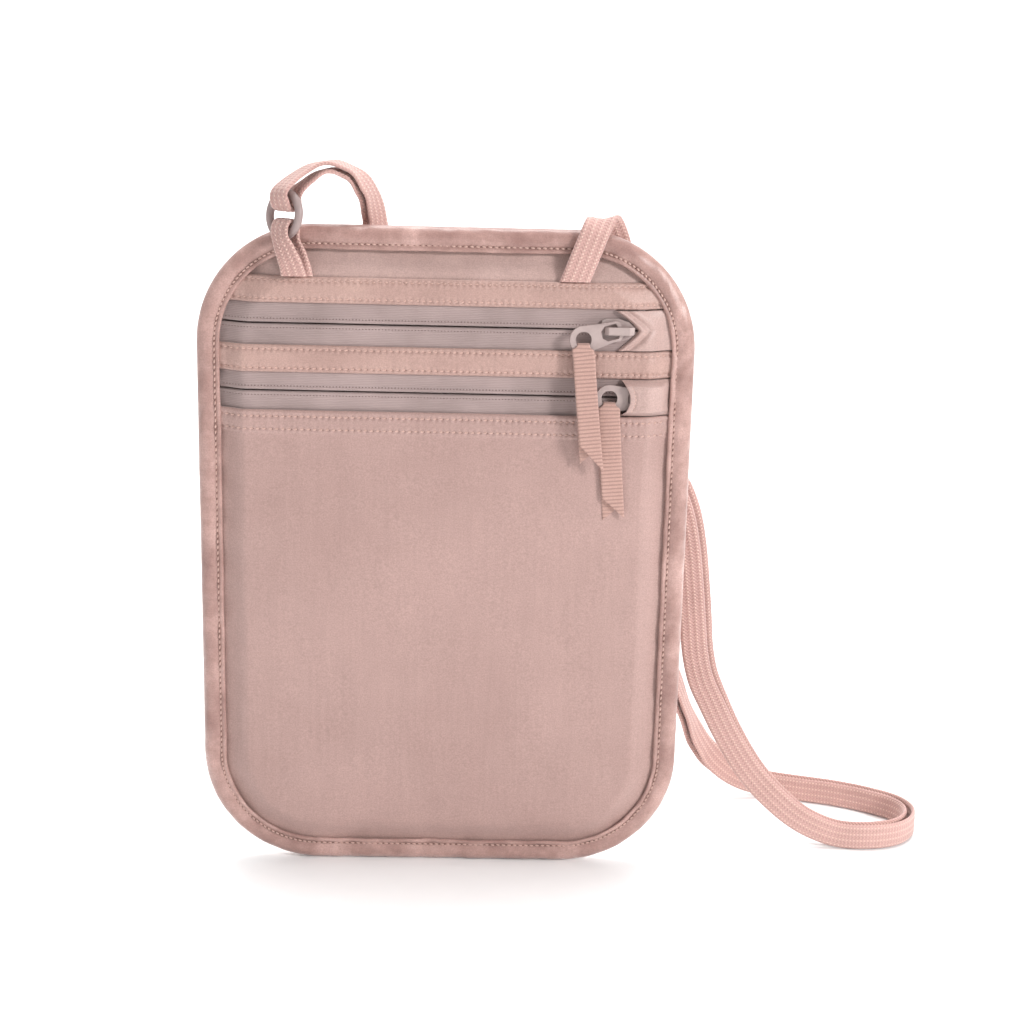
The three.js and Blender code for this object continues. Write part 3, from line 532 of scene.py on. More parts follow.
def row_of_stitches(z, surface, pitch, x_from, x_to, tilt=0.16):
    """Stitch places along a level seam on surface(x, z)."""
    count = int((x_to - x_from) / pitch)
    places = []
    for k in range(count + 1):
        x = x_from + (k + 0.5) * pitch
        if x > x_to:
            break
        slope = (surface(x + 0.3, z) - surface(x - 0.3, z)) / 0.6
        along = Vector((1, slope, tilt)).normalized()
        out = Vector((slope, -1, 0)).normalized()
        places.append(((x, surface(x, z), z + 0.08 * noise.noise(Vector((x, z, 0)))), along, out))
    return places


# ---- outline of the pouch ----
def outline_length():
    return 4 * (SIDE - CORNER) + 4 * (TOP - CORNER) + 2 * math.pi * CORNER


def outline_at(distance, inset):
    """The point [x, z] at a distance round the outline and its outward direction."""
    tall, wide, turn = 2 * (TOP - CORNER), 2 * (SIDE - CORNER), math.pi / 2 * CORNER
    d = distance % outline_length()
    runs = ((tall, 0), (turn, 1), (wide, 0), (turn, 1), (tall, 0), (turn, 1), (wide, 0), (turn, 1))
    quarter = 0
    for length, bend in runs:
        if d <= length:
            break
        d -= length
        quarter += bend
    facing = quarter * math.pi / 2
    centre_signs = ((1, 1), (-1, 1), (-1, -1), (1, -1))
    if bend:
        cx, cz = centre_signs[quarter % 4]
        a = facing + d / CORNER
        middle = (cx * (SIDE - CORNER), cz * (TOP - CORNER))
        out = (math.cos(a), math.sin(a))
        reach = CORNER - inset
        return (middle[0] + reach * out[0], middle[1] + reach * out[1]), out
    out = (round(math.cos(facing)), round(math.sin(facing)))
    along = (-out[1], out[0])
    half = length / 2
    base = SIDE if out[0] else TOP
    return (out[0] * (base - inset) + along[0] * (d - half), out[1] * (base - inset) + along[1] * (d - half)), out


# ---- panels ----
def front_level(x, z):
    """Outer face of the front panel, puffed a little and pulled at the binding."""
    y = layer_y(PANEL_Y, PANEL_EDGE_Y, x, z)
    room = smooth((depth_inside(x, z) - 8) / 26)
    y -= 0.75 * room * smooth((PANEL_TOP - z) / 30)
    y -= 0.95 * room * wrinkle(x + 0.5 * z, z * 0.7, 36, 2.3)
    y -= 0.35 * pucker(x, z, 7.7)
    return y


def hem_level(x, z):
    """The front panel with its folded hem along the top edge."""
    y = front_level(x, z)
    down = PANEL_TOP - z
    hem = smooth((7.2 - down) / 1.2)
    rounding = 0.45 * (1 - smooth(down / 0.7))
    groove = sum(0.28 * math.exp(-(((down - at) / 0.5) ** 2)) for at in HEM_SEAMS)
    ripple = 0.07 * noise.noise(Vector((x / 3.2, down / 4, 9.1)))
    lift = sum(scallop(x, down - seam_at, STITCH_PITCH) for seam_at in HEM_SEAMS)
    return y - 0.5 * hem + rounding + groove * (1 + 4 * ripple) + ripple - lift


HEM_SEAMS = (1.9, 5.7)
STITCH_PITCH = 1.85


def make_front_panel():
    zs = spread(-TOP + 1.2, PANEL_TOP - 9, 1.3) + spread(PANEL_TOP - 9, PANEL_TOP, 0.3)[1:]
    piece = cloth_piece("satin_front_panel", zs, even_shares(400), hem_level, SATIN, ["front_panel"])
    for k, seam in enumerate(HEM_SEAMS):
        z = PANEL_TOP - seam
        places = row_of_stitches(z, hem_level, STITCH_PITCH, -SIDE + 8, SIDE - 8)
        sew(f"hem_seam_{k + 1}", places, STITCH_PITCH)


def top_level(x, z):
    y = layer_y(TAPE_Y, TAPE_EDGE_Y, x, z)
    return y - 0.35 * pucker(x, z, 3.1) - 0.3 * wrinkle(x, z, 22, 5.2) * smooth((depth_inside(x, z) - 7) / 6)


def make_top_panel():
    zs = spread(low("top_panel").z, TOP - 1.2, 0.9)
    piece = cloth_piece("satin_top_panel", zs, even_shares(150), top_level, SATIN_PAINTED_LIGHT, ["top_panel"])


def back_level(x, z):
    """Outer face of the back panel: its y grows towards the wearer."""
    t = (depth_inside(x, z) - SLOPE_START) / (SLOPE_END - SLOPE_START)
    y = BACK_EDGE_Y + (BACK_Y - BACK_EDGE_Y) * smooth(t)
    room = smooth((depth_inside(x, z) - 8) / 20)
    return y + 0.25 * room + 0.3 * room * wrinkle(x, z * 0.7, 30, 8.4) + 0.35 * pucker(x, z, 1.9)


def make_back_panel():
    zs = spread(-TOP + 1.2, TOP - 1.2, 1.4)

    def inner(x, z):
        return back_level(x, z) - CLOTH

    piece = cloth_piece("satin_back_panel", zs, even_shares(130), inner, SATIN, ["back_panel"])


def make_divider():
    zs = spread(-TOP + 1.2, 57.5, 2.5)
    level = low("back_panel").y - 0.3

    def face(x, z):
        return level - CLOTH + 0.15 * wrinkle(x, z, 20, 4.4)

    piece = cloth_piece("lining_divider", zs, even_shares(60), face, LINING, ["pocket_divider"])


def strip_level(bottom, top, x, z):
    """A facing strip: both long edges folded under and sewn, the middle a little full."""
    y = layer_y(PANEL_Y, PANEL_EDGE_Y, x, z) - 0.3
    up, down = z - bottom, top - z
    rounding = 0.5 * (1 - smooth(up / 0.6)) + 0.5 * (1 - smooth(down / 0.6))
    groove = sum(0.34 * math.exp(-(((d - FACING_SEAM) / 0.42) ** 2)) for d in (up, down))
    full = 0.28 * smooth(min(up, down) / 3.2)
    ripple = 0.08 * noise.noise(Vector((x / 2.9, z / 2.4, 6.6))) + 0.1 * noise.noise(Vector((x / 14, z / 9, 1.6)))
    lift = scallop(x, up - FACING_SEAM, STITCH_PITCH) + scallop(x, down - FACING_SEAM, STITCH_PITCH)
    return y + rounding + groove - full + ripple - lift


FACING_SEAM = 1.25


def make_facing(name, bottom, top):
    def level(x, z):
        return strip_level(bottom, top, x, z)

    zs = spread(bottom, top, 0.28)
    cloth_piece(f"{name}_facing_cloth", zs, even_shares(400), level, FACING, [f"{name}_facing_strip"])
    for k, z in enumerate((bottom + FACING_SEAM, top - FACING_SEAM)):
        reach = half_width(z, 8)
        places = row_of_stitches(z, level, STITCH_PITCH, -reach, reach)
        sew(f"{name}_facing_seam_{k + 1}", places, STITCH_PITCH)


# ---- binding ----
BINDING_SEAM = 5.45
BINDING_STITCH = 1.75


def binding_profile():
    """(inset, height) of the binding's outer face over one side, from its inner edge to the rim."""
    return [
        (6.75, -0.55), (7.0, -0.2), (7.02, 0.12), (6.85, 0.36), (6.5, 0.48), (6.1, 0.42), (5.75, 0.2),
        (BINDING_SEAM, 0.02), (5.1, 0.14), (4.5, 0.38), (3.7, 0.52), (2.8, 0.5), (2.0, 0.3), (1.3, -0.1),
        (0.75, -0.6), (0.35, -1.15), (0.1, -1.75),
    ]


def make_binding():
    """A folded satin tape round the rim, pinched by its stitches."""
    middle = (BINDING_FRONT + BINDING_BACK) / 2
    half = (BINDING_BACK - BINDING_FRONT) / 2
    outer = binding_profile()
    ring = [(inset, -(half + h), 1) for inset, h in outer]
    ring += [(0.0, 0.0, 0)]
    ring += [(inset, half + h, 1) for inset, h in reversed(outer)]
    ring += [(1.0, half - 0.9, 0), (1.0, -(half - 0.9), 0)]
    steps = int(outline_length() / 0.5)
    vertices = []
    for s in range(steps):
        d = outline_length() * s / steps
        pinch = 0.5 + 0.5 * math.cos(2 * math.pi * d / BINDING_STITCH)
        for k, (inset, rise, skin) in enumerate(ring):
            side = -1 if rise < 0 else 1
            pull = noise.noise(Vector((d / 7.5, inset / 3.0, side * 4.0)))
            broad = noise.noise(Vector((d / 26, inset / 9.0, side * 7.0)))
            near = math.exp(-(((inset - BINDING_SEAM) / 0.7) ** 2))
            crease = noise.noise(Vector(((d + inset * 1.5) / 4.2, inset / 5.0, side * 9.0)))
            bump = skin * (0.34 * pull + 0.46 * broad + 0.3 * crease - 0.2 * near * pinch)
            wander = skin * 0.16 * noise.noise(Vector((d / 11, 3.3, side)))
            (x, z), _ = outline_at(d, inset + (wander if inset > 4 else 0))
            vertices.append((x, middle + rise + side * bump, z))
    faces = tube_faces(steps, len(ring), closed_path=True)
    new_piece("satin_binding", vertices, faces, BINDING_PAINTED_SHEEN, stands_for=["edge_binding"])
    count = int(outline_length() / BINDING_STITCH)
    for name, y, out in (("front", BINDING_FRONT - 0.02, -1), ("back", BINDING_BACK + 0.02, 1)):
        places = []
        for k in range(count):
            (x, z), facing = outline_at((k + 0.5) * outline_length() / count, BINDING_SEAM)
            along = Vector((-facing[1], 0, facing[0])) + Vector((facing[0], 0, facing[1])) * 0.18
            places.append(((x, y, z), along, (0, out, 0)))
        sew(f"binding_seam_{name}", places, BINDING_STITCH)


# ---- zips ----
TAPE_MEET = 0.2
CHAIN_SEAM = 1.3
CHAIN_STITCH = 0.95


def tape_level(x, z, middle):
    """A zip tape's face, with a shallow ridge where the coil lies behind it."""
    y = layer_y(TAPE_Y, TAPE_EDGE_Y, x, z)
    off = abs(z - middle)
    ridge = 0.34 * math.exp(-(((off - 0.9) / 0.9) ** 2))
    lip = 0.35 * (1 - smooth((off - TAPE_MEET) / 0.35))
    groove = 0.12 * math.exp(-(((off - CHAIN_SEAM) / 0.25) ** 2))
    wave = 0.1 * noise.noise(Vector((x / 24, z / 12, 2.2)))
    return y - ridge + lip + groove + wave


def make_tape(name, middle, inner, outer, right_end):
    side = 1 if outer > middle else -1
    start = middle + side * TAPE_MEET
    steps = spread(start, middle + side * 3.0, 0.16) + spread(middle + side * 3.0, outer, 0.6)[1:]
    zs = sorted(steps)

    def level(x, z):
        return tape_level(x, z, middle)

    cloth_piece(
        f"{name}_cloth", zs, even_shares(190), level, TAPE, [name],
        right=lambda z: right_end,
    )
    z = middle + side * CHAIN_SEAM
    places = row_of_stitches(z, level, CHAIN_STITCH, -SIDE + 7.5, right_end - 0.5, 0.0)
    stitch_piece(f"{name}_stitches", places, TAPE_THREAD, length=0.56, width=0.44, height=0.18)


def make_coil(node):
    """A helix of nylon filament in place of the plain rod."""
    a, b = low(node), high(node)
    y, z = (a.y + b.y) / 2, (a.z + b.z) / 2
    wire, radius = 0.2, (b.z - a.z) / 2 - 0.2
    pitch, per_turn, sides = 0.92, 10, 5
    count = int((b.x - a.x - 1) / pitch * per_turn)
    vertices = []
    for s in range(count):
        turn = 2 * math.pi * s / per_turn
        x = a.x + 0.5 + s * pitch / per_turn
        out = Vector((0, math.cos(turn), math.sin(turn)))
        centre = Vector((x, y, z)) + out * radius
        for k in range(sides):
            around = 2 * math.pi * k / sides
            vertices.append(centre + out * (wire * math.cos(around)) + Vector((wire * math.sin(around), 0, 0)))
    faces = tube_faces(count, sides)
    new_piece(f"{node}_filament", vertices, faces, NYLON, stands_for=[node])


def upper_end_left(z):
    """The notched left edge of the upper end tab."""
    t = (z - UPPER_ZIP) / (high("upper_zip_end_tab").z - UPPER_ZIP)
    return 55.6 - (6.8 if t > 0 else 5.8) * abs(t) ** 1.25


def upper_end_level(x, z):
    """Folded back along its notch, so that a soft roll follows the edge."""
    y = layer_y(PANEL_Y, PANEL_EDGE_Y, x, z)
    off = (x - upper_end_left(z)) * 0.8
    roll = 0.6 * math.exp(-(((off - 1.0) / 0.8) ** 2))
    crease = 0.4 * math.exp(-(((off - 2.6) / 0.7) ** 2))
    beyond = 0.35 * math.exp(-(((off - 4.6) / 1.5) ** 2))
    lip = 0.6 * (1 - smooth(off / 0.6))
    soft = 0.3 * noise.noise(Vector((x / 5, z / 4, 5.0))) * smooth((off - 1) / 3)
    return y - 0.2 - roll + crease - beyond + lip + soft


def tunnel_left(z):
    t = (z - LOWER_ZIP) / 5.3
    return 53.8 - 2.6 * t * t


def lower_end_level(x, z):
    """The lower end tab, arched over the slider parked beneath it."""
    y = layer_y(PANEL_Y, PANEL_EDGE_Y, x, z)
    up = (abs(z - LOWER_ZIP)) / 5.3
    arch = smooth((1 - up) / 0.34)
    along = smooth((66.2 - x) / 3.4)
    soft = 0.25 * noise.noise(Vector((x / 4.5, z / 4, 8.0)))
    seam = 0.22 * math.exp(-(((x - tunnel_left(z) - 1.6) / 0.35) ** 2))
    return y - 3.75 * arch * along - soft * arch + seam * arch - 0.1


def make_end_tabs():
    bottom, top = low("upper_zip_end_tab").z, high("upper_zip_end_tab").z
    upper = cloth_piece(
        "upper_end_tab_satin", spread(bottom, top, 0.3), even_shares(70), upper_end_level, SATIN_PAINTED_LIGHT,
        ["upper_zip_end_tab"], left=upper_end_left,
    )
    bottom, top = low("lower_zip_end_tab").z, high("lower_zip_end_tab").z
    lower = cloth_piece(
        "lower_end_tab_satin", spread(bottom, top, 0.26), even_shares(80), lower_end_level, SATIN_PAINTED_LIGHT,
        ["lower_zip_end_tab"], left=tunnel_left,
    )
    places = []
    for z in spread(LOWER_ZIP - 3.4, LOWER_ZIP + 3.4, 1.15):
        x = tunnel_left(z) + 1.6
        bend = (tunnel_left(z + 0.1) - tunnel_left(z - 0.1)) / 0.2
        places.append(((x, lower_end_level(x, z), z), (bend, 0, 1), (0, -1, 0)))
    stitch_piece("lower_end_tab_stitches", places, THREAD, length=0.8, width=0.34, height=0.26)


def make_zips():
    for zip_name, middle in (("upper", UPPER_ZIP), ("lower", LOWER_ZIP)):
        for side in ("top", "bottom"):
            node = f"{zip_name}_zip_tape_{side}"
            a, b = low(node), high(node)
            outer = b.z if side == "top" else a.z
            make_tape(node, middle, middle, outer, b.x)
            make_coil(f"{zip_name}_zip_coil_{side}")
    make_end_tabs()


# ---- metal and plastic parts: the CAD shape with rounded edges ----
def softened(node, name, material, body, edge_mm, segments=3):
    """A copy of a CAD solid with its flat faces joined up and its edges rounded."""
    piece = bpy.data.objects.new(name, frame["nodes"][node].data.copy())
    bpy.context.scene.collection.objects.link(piece)
    piece.data.materials.clear()
    piece.data.materials.append(material)
    piece.data.polygons.foreach_set("use_smooth", [True] * len(piece.data.polygons))
    flatten = piece.modifiers.new("flatten", "DECIMATE")
    flatten.decimate_type = "DISSOLVE"
    flatten.angle_limit = math.radians(3)
    bevel = piece.modifiers.new("bevel", "BEVEL")
    bevel.width = edge_mm * MM
    bevel.segments = segments
    bevel.limit_method = "ANGLE"
    bevel.angle_limit = math.radians(32)
    bevel.harden_normals = True
    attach(piece, body)
    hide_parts(node)
    return piece


def make_ring():
    """A moulded round ring with a faint parting line."""
    a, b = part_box("strap_ring")
    centre = (a + b) / 2 / MM
    vertices = []
    rings, around = 96, 20
    for s in range(rings):
        turn = 2 * math.pi * s / rings
        out = RING_ACROSS * math.cos(turn) + RING_UP * math.sin(turn)
        for k in range(around):
            angle = 2 * math.pi * k / around
            wire = RING_WIRE + 0.03 * noise.noise(Vector((s * 0.15, k * 0.3, 0)))
            wire += 0.05 * math.exp(-((math.sin(angle) / 0.16) ** 2)) * (1 if math.cos(angle) > 0 else 0)
            vertices.append(centre + out * (RING_RADIUS + wire * math.cos(angle)) + RING_AXIS * (wire * math.sin(angle)))
    faces = [tuple(reversed(f)) for f in tube_faces(rings, around, closed_path=True)]
    new_piece("moulded_ring", vertices, faces, RING_PLASTIC, "ring", ["strap_ring"])


RING_RADIUS = 6.1
RING_WIRE = 1.2
RING_CENTRE = Vector((-46.3, -11.9, 101.2))
RING_TURN = math.radians(42)
RING_LEAN = math.radians(8)
RING_AXIS = Vector((
    -math.sin(RING_TURN) * math.cos(RING_LEAN),
    -math.cos(RING_TURN) * math.cos(RING_LEAN),
    math.sin(RING_LEAN),
))
RING_ACROSS = Vector((math.cos(RING_TURN), -math.sin(RING_TURN), 0))
RING_UP = -RING_ACROSS.cross(RING_AXIS)


def by_ring(across, up, out):
    return RING_CENTRE + RING_ACROSS * across + RING_UP * up + RING_AXIS * out


# ---- flat strips along a route ----
def lerp(a, b, at_a, at_b, t):
    return a + (b - a) * (t - at_a) / (at_b - at_a)


def catmull_rom(four, knots, t):
    """The point at t between the middle two of four points, by their centripetal knots."""
    sides = [lerp(four[k], four[k + 1], knots[k], knots[k + 1], t) for k in range(3)]
    halves = [lerp(sides[k], sides[k + 1], knots[k], knots[k + 2], t) for k in range(2)]
    return lerp(halves[0], halves[1], knots[1], knots[2], t)


def smooth_route(points, across, step):
    """Points and directions on a smooth curve through the given ones, step mm apart."""
    p = np.array([tuple(v) for v in points])
    w = np.array([tuple(v) for v in across])
    p = np.vstack([2 * p[0] - p[1], p, 2 * p[-1] - p[-2]])
    w = np.vstack([w[0], w, w[-1]])
    fine_p, fine_w = [], []
    for k in range(1, len(p) - 2):
        four = p[k - 1:k + 3]
        spacing = np.sqrt(np.linalg.norm(np.diff(four, axis=0), axis=1))
        knots = np.concatenate([[0], np.cumsum(spacing)])
        for t in np.linspace(knots[1], knots[2], 24, endpoint=False):
            share = smooth((t - knots[1]) / (knots[2] - knots[1]))
            fine_p.append(catmull_rom(four, knots, t))
            fine_w.append(w[k] * (1 - share) + w[k + 1] * share)
    fine_p.append(p[-2])
    fine_w.append(w[-2])
    fine_p, fine_w = np.array(fine_p), np.array(fine_w)
    run = np.concatenate([[0], np.cumsum(np.linalg.norm(np.diff(fine_p, axis=0), axis=1))])
    marks = np.linspace(0, run[-1], max(2, int(run[-1] / step)) + 1)
    at = np.stack([np.interp(marks, run, fine_p[:, k]) for k in range(3)], axis=1)
    wide = np.stack([np.interp(marks, run, fine_w[:, k]) for k in range(3)], axis=1)
    along = np.gradient(at, axis=0)
    along /= np.linalg.norm(along, axis=1)[:, None]
    wide -= along * (wide * along).sum(1)[:, None]
    wide /= np.linalg.norm(wide, axis=1)[:, None]
    face = np.cross(along, wide)
    return marks, at, wide, face


def strip_piece(name, route, profile, material, body, stands_for, shape=None):
    """Sweeps a profile of (across, out) along a route. shape(across, out, mark) may change a profile point."""
    marks, at, wide, face = route
    vertices, uv = [], []
    for m, p, w, f in zip(marks, at, wide, face):
        for a, b in profile:
            c, d = shape(a, b, m) if shape else (a, b)
            vertices.append(p + w * c + f * d)
            uv.append((a, m))
    faces = tube_faces(len(marks), len(profile))
    return new_piece(name, vertices, faces, material, body, stands_for, uv)


def flat_profile(width, thick, ridges, depth, count=12):
    """A flattened oval with shallow lengthwise ridges on both faces."""
    half = width / 2
    top = []
    for k in range(count * 2 + 1):
        a = -half + width * k / (count * 2)
        fall = math.sqrt(max(1 - abs(a / half) ** 5, 0))
        wale = depth * abs(math.sin(math.pi * ridges * (a + half) / width))
        top.append((a, fall * (thick / 2 - depth) + wale * fall))
    return [(a, -b) for a, b in top] + list(reversed(top[1:-1]))


def trim_foot(piece, around, rings, reach, at_end=False):
    """Cuts a strip's foot off level, just above the upper facing, where it goes in under it."""
    level = (UPPER_FACING[1] + 0.1) * MM
    mesh = bmesh.new()
    mesh.from_mesh(piece.data)
    mesh.verts.ensure_lookup_table()
    first = (rings - reach) * around if at_end else 0
    last = rings * around if at_end else reach * around
    near = set(mesh.verts[first:last])
    faces = [f for f in mesh.faces if all(v in near for v in f.verts)]
    edges = {e for f in faces for e in f.edges}
    verts = {v for f in faces for v in f.verts}
    bmesh.ops.bisect_plane(
        mesh, geom=[*verts, *edges, *faces], plane_co=(0, 0, level), plane_no=(0, 0, 1), clear_inner=True,
    )
    rim = [e for e in mesh.edges if e.is_boundary]
    bmesh.ops.holes_fill(mesh, edges=rim, sides=0)
    mesh.to_mesh(piece.data)
    mesh.free()


STRAP_WIDTH = 8.3
STRAP_THICK = 1.4

# The doubled run's middle line, from behind the right shoulder round the table and up to the ring:
# x, y, z, the direction across the strap, half the distance between its two layers, and half
# their sideways shift.
DOUBLED_RUN = [
    (52.5, 5.2, 66, 1, 0, 0, 1.0, 0),
    (52.5, 5.5, 58, 1, 0, 0, 1.3, 0),
    (52.5, 5.5, 38, 1, 0, 0, 1.3, 0),
    (57, 5.9, 33.5, 1, 0, 0.6, 1.5, 0),
    (64, 6.4, 28, 0.8, 0, 0.8, 1.6, 0.6),
    (70, 6.9, 20.5, 1, 0, 0.6, 1.7, 1.1),
    (73.8, 7.5, 12, 1, 0, 0.35, 1.7, 1.2),
    (76.2, 8.1, 2, 1, 0, 0.2, 1.7, 1.2),
    (78.4, 9, -13.7, 1, 0, 0.12, 1.7, 1.2),
    (79.6, 9.8, -24, 1, 0, 0.12, 1.7, 1.2),
    (80.8, 10.6, -34, 1, 0, 0.2, 1.7, 1.1),
    (83, 11.1, -43, 1, 0, 0.35, 1.6, 1.0),
    (86.6, 11.6, -51, 1, 0, 0.45, 1.6, 0.8),
    (92.3, 12, -62.4, 1, 0, 0.55, 1.5, 0.6),
    (100, 11.5, -74.5, 1, 0, 0.75, 1.5, 0.4),
    (107.8, 10, -83, 0.9, 0, 0.9, 1.45, 0.2),
    (117, 8.4, -90, 0.5, 0, 1, 1.4, 0),
    (128, 6.8, -94, 0.15, 0, 1, 1.35, 0),
    (138.7, 6, -94.3, 0, 0, 1, 1.35, 0),
    (148.2, 9, -94.3, 0, 0, 1, 1.35, 0),
    (153.6, 15, -94.3, 0, 0, 1, 1.35, 0),
    (155.2, 21.5, -94.3, 0, 0, 1, 1.35, 0),
    (152.8, 28, -94.3, 0, 0, 1, 1.35, 0),
    (144.9, 34.5, -94.3, 0, 0, 1, 1.35, 0),
    (134.2, 40, -94.3, 0, 0, 1, 1.35, 0),
    (122.5, 43.8, -94.3, 0, 0, 1, 1.4, 0),
    (111.9, 46.4, -93.8, 0.05, 0, 1, 1.4, 0),
    (102.6, 46, -91, 0.3, 0, 1, 1.45, 0),
    (93.9, 44, -84.8, 0.65, 0.25, 1, 1.4, 0),
    (86.7, 40, -75.6, 0.45, 0.7, 0.7, 1.2, 0),
    (80.8, 35, -63, 0.2, 0.87, 0.42, 1.05, 0),
    (75.6, 30, -49.5, 0.3, 0.85, 0.42, 1.1, 0),
    (66, 24.5, -31, 0.8, 0.4, 0.5, 1.5, 0),
    (49, 18.5, -10, 1, 0, 0.6, 1.7, 0),
    (29, 13, 14, 1, 0, 0.75, 1.7, 0),
    (8, 9.6, 38, 1, 0, 0.75, 1.7, 0),
    (-9, 7.8, 60, 1, 0.1, 0.5, 1.7, 0),
    (-18, 7, 78, 1, 0.3, 0.2, 1.65, 0),
    (-21.3, 5.4, 92, 0.8, 0.55, 0, 1.5, 0),
    (-22, 2.4, 101.5, 0.54, 0.84, 0, 1.2, 0),
    (-24.6, -0.8, 109, 0.45, 0.9, 0, 1.15, 0),
    (-30, -3.6, 113.6, 0.25, 0.97, 0, 1.15, 0),
    (-36, -6, 114.3, 0, 1, 0, 1.2, 0),
    (-40.8, -8, 111.8, -0.45, 0.85, 0, 1.6, 0),
]
ANCHOR_RUN = [
    (34.6, -11.2, 79.0, 1, 0, 0),
    (36.8, -11.2, 84.1, 1, 0, 0),
    (38.7, -11.25, 89, 1, 0, -0.35),
    (41.0, -10.2, 94.8, 1, 0, -0.35),
    (42.6, -8.9, 98.7, 1, 0.05, -0.3),
    (43.9, -6.4, 100.8, 1, 0.3, 0),
    (45.6, -3.4, 101, 0.95, 0.3, 0.1),
    (47.6, -0.3, 98.6, 0.95, 0.15, 0.25),
    (50, 2.0, 92.4, 1, 0, 0.35),
    (51.8, 3.4, 84, 1, 0, 0.2),
    (52.5, 4.2, 75, 1, 0, 0),
]


def strap_stations():
    """Every station of the strap: (point, across)."""
    middle = [Vector(s[:3]) for s in DOUBLED_RUN]
    first, second = [], []
    for k, station in enumerate(DOUBLED_RUN):
        along = (middle[min(k + 1, len(middle) - 1)] - middle[max(k - 1, 0)]).normalized()
        wide = Vector(station[3:6])
        wide = (wide - along * wide.dot(along)).normalized()
        off = along.cross(wide) * station[6] - wide * station[7]
        first.append((middle[k] + off, wide))
        second.append((middle[k] - off, wide))
    leg = RING_WIRE + 0.3 + STRAP_THICK / 2 + 0.05
    turn_up = 1.45
    twisted = Vector((-0.64, 0.77, 0))
    turn = [(6.0, -leg - 0.55, twisted), (3.4, -leg, -RING_ACROSS), (turn_up + 0.45, leg * -0.6, -RING_ACROSS)]
    turn += [(turn_up, 0, -RING_ACROSS), (turn_up + 0.45, leg * 0.6, -RING_ACROSS)]
    turn += [(3.4, leg, -RING_ACROSS), (6.0, leg + 0.55, twisted)]
    round_ring = [(by_ring(0, up, out), wide) for up, out, wide in turn]
    anchor = [(Vector(s[:3]), Vector(s[3:])) for s in ANCHOR_RUN]
    return anchor + first + round_ring + second[::-1]


def make_strap():
    stations = strap_stations()
    route = smooth_route([s[0] for s in stations], [s[1] for s in stations], 0.9)
    profile = flat_profile(STRAP_WIDTH, STRAP_THICK, 4, 0.16)
    strap = strip_piece("braided_strap", route, profile, BRAID, "pouch", ["neck_strap"])
    trim_foot(strap, len(profile), len(route[0]), 12)
    keeper = softened("strap_keeper", "moulded_keeper", RING_PLASTIC, "keeper", 0.35)


TAB_THICK = 1.2
TAB_WIDTH = 7.2


def make_ring_tab():
    foot = UPPER_FACING[1] + 0.3
    out = RING_WIRE + 0.3 + TAB_THICK / 2
    up, across = -1.45, 0.9
    level = PANEL_Y
    stations = [
        ((-42.6, level - 0.9, foot - 5), (1, 0, 0)),
        ((-43.8, level - 1.4, foot), (1, 0, 0)),
        ((-44.5, level - 3.0, foot + 3.5), (0.98, -0.2, 0)),
        ((-45.9, level - 4.1, foot + 7.4), (0.9, -0.42, 0)),
        (by_ring(1.4, -6.4, out + 0.05), RING_ACROSS),
        (by_ring(across, up - 1.95, out), RING_ACROSS),
        (by_ring(across, up - 0.45, out * 0.6), RING_ACROSS),
        (by_ring(across, up, 0), RING_ACROSS),
        (by_ring(across, up - 0.45, out * -0.6), RING_ACROSS),
        (by_ring(across, up - 1.95, -out), RING_ACROSS),
        (by_ring(1.4, -6.4, -out - 0.05), RING_ACROSS),
        ((-43.2, level - 0.45, foot + 5.4), (0.95, -0.3, 0)),
        ((-42.0, level - 0.15, foot), (1, 0, 0)),
        ((-41.4, level - 0.1, foot - 5), (1, 0, 0)),
    ]
    route = smooth_route([s[0] for s in stations], [s[1] for s in stations], 0.35)
    profile = flat_profile(TAB_WIDTH, TAB_THICK, 4, 0.14)
    tab = strip_piece("braided_ring_tab", route, profile, BRAID, "pouch", ["ring_tab"])
    trim_foot(tab, len(profile), len(route[0]), 40, at_end=True)
    trim_foot(tab, len(profile), len(route[0]), 40)


# ---- ribbon pulls ----
RIBBON_WIDTH = 6.35
RIBBON_THICK = 0.5
NECK_WIDTH = 3.6


def make_ribbon(name, body, hole, front_layer, back_layer, front_cut, back_cut):
    """A ribbon folded through a tab's hole. Both ends are cut on the slant, one each way."""
    neck = [(0, -1.0, -3.4), (0, -0.95, -1.8), (0, 0, -1.2), (0, 1.0, -1.8), (0, 1.2, -3.4)]
    stations = [*reversed(back_layer), *neck, *front_layer]
    points = [hole + Vector((right, -out, up)) for right, out, up in stations]
    route = smooth_route(points, [(1, 0, 0)] * len(points), 0.16)
    marks, at, wide, face = route
    middle = marks[np.argmin(np.linalg.norm(at - np.array(hole), axis=1))]
    profile = ribbon_profile()
    half = RIBBON_WIDTH / 2
    vertices, uv = [], []
    for m in marks:
        for a, b in profile:
            share = (a + half) / RIBBON_WIDTH
            here = min(max(m, back_cut * share), marks[-1] - front_cut * (1 - share))
            centre, w, f = (
                np.array([np.interp(here, marks, table[:, k]) for k in range(3)]) for table in (at, wide, face)
            )
            gather = smooth((abs(here - middle) - 1.1) / 1.3)
            width = NECK_WIDTH + (RIBBON_WIDTH - NECK_WIDTH) * gather
            selvedge = abs(a) > half * 0.88
            rib = 0 if selvedge else math.cos(2 * math.pi * here / RIB_PITCH)
            thick = 1 + 0.24 * rib * gather
            curl = 0.22 * (a / half) ** 2 * noise.noise(Vector((here / 9, 0.5, 3.0)))
            vertices.append(centre + w * (a * width / RIBBON_WIDTH) + f * (b * thick + curl))
            uv.append((a, here))
    faces = tube_faces(len(marks), len(profile))
    piece = new_piece(
        f"grosgrain_{name}", vertices, faces, RIBBON, body, [f"{name}_ribbon_pull"], uv,
    )
    merge_close(piece)


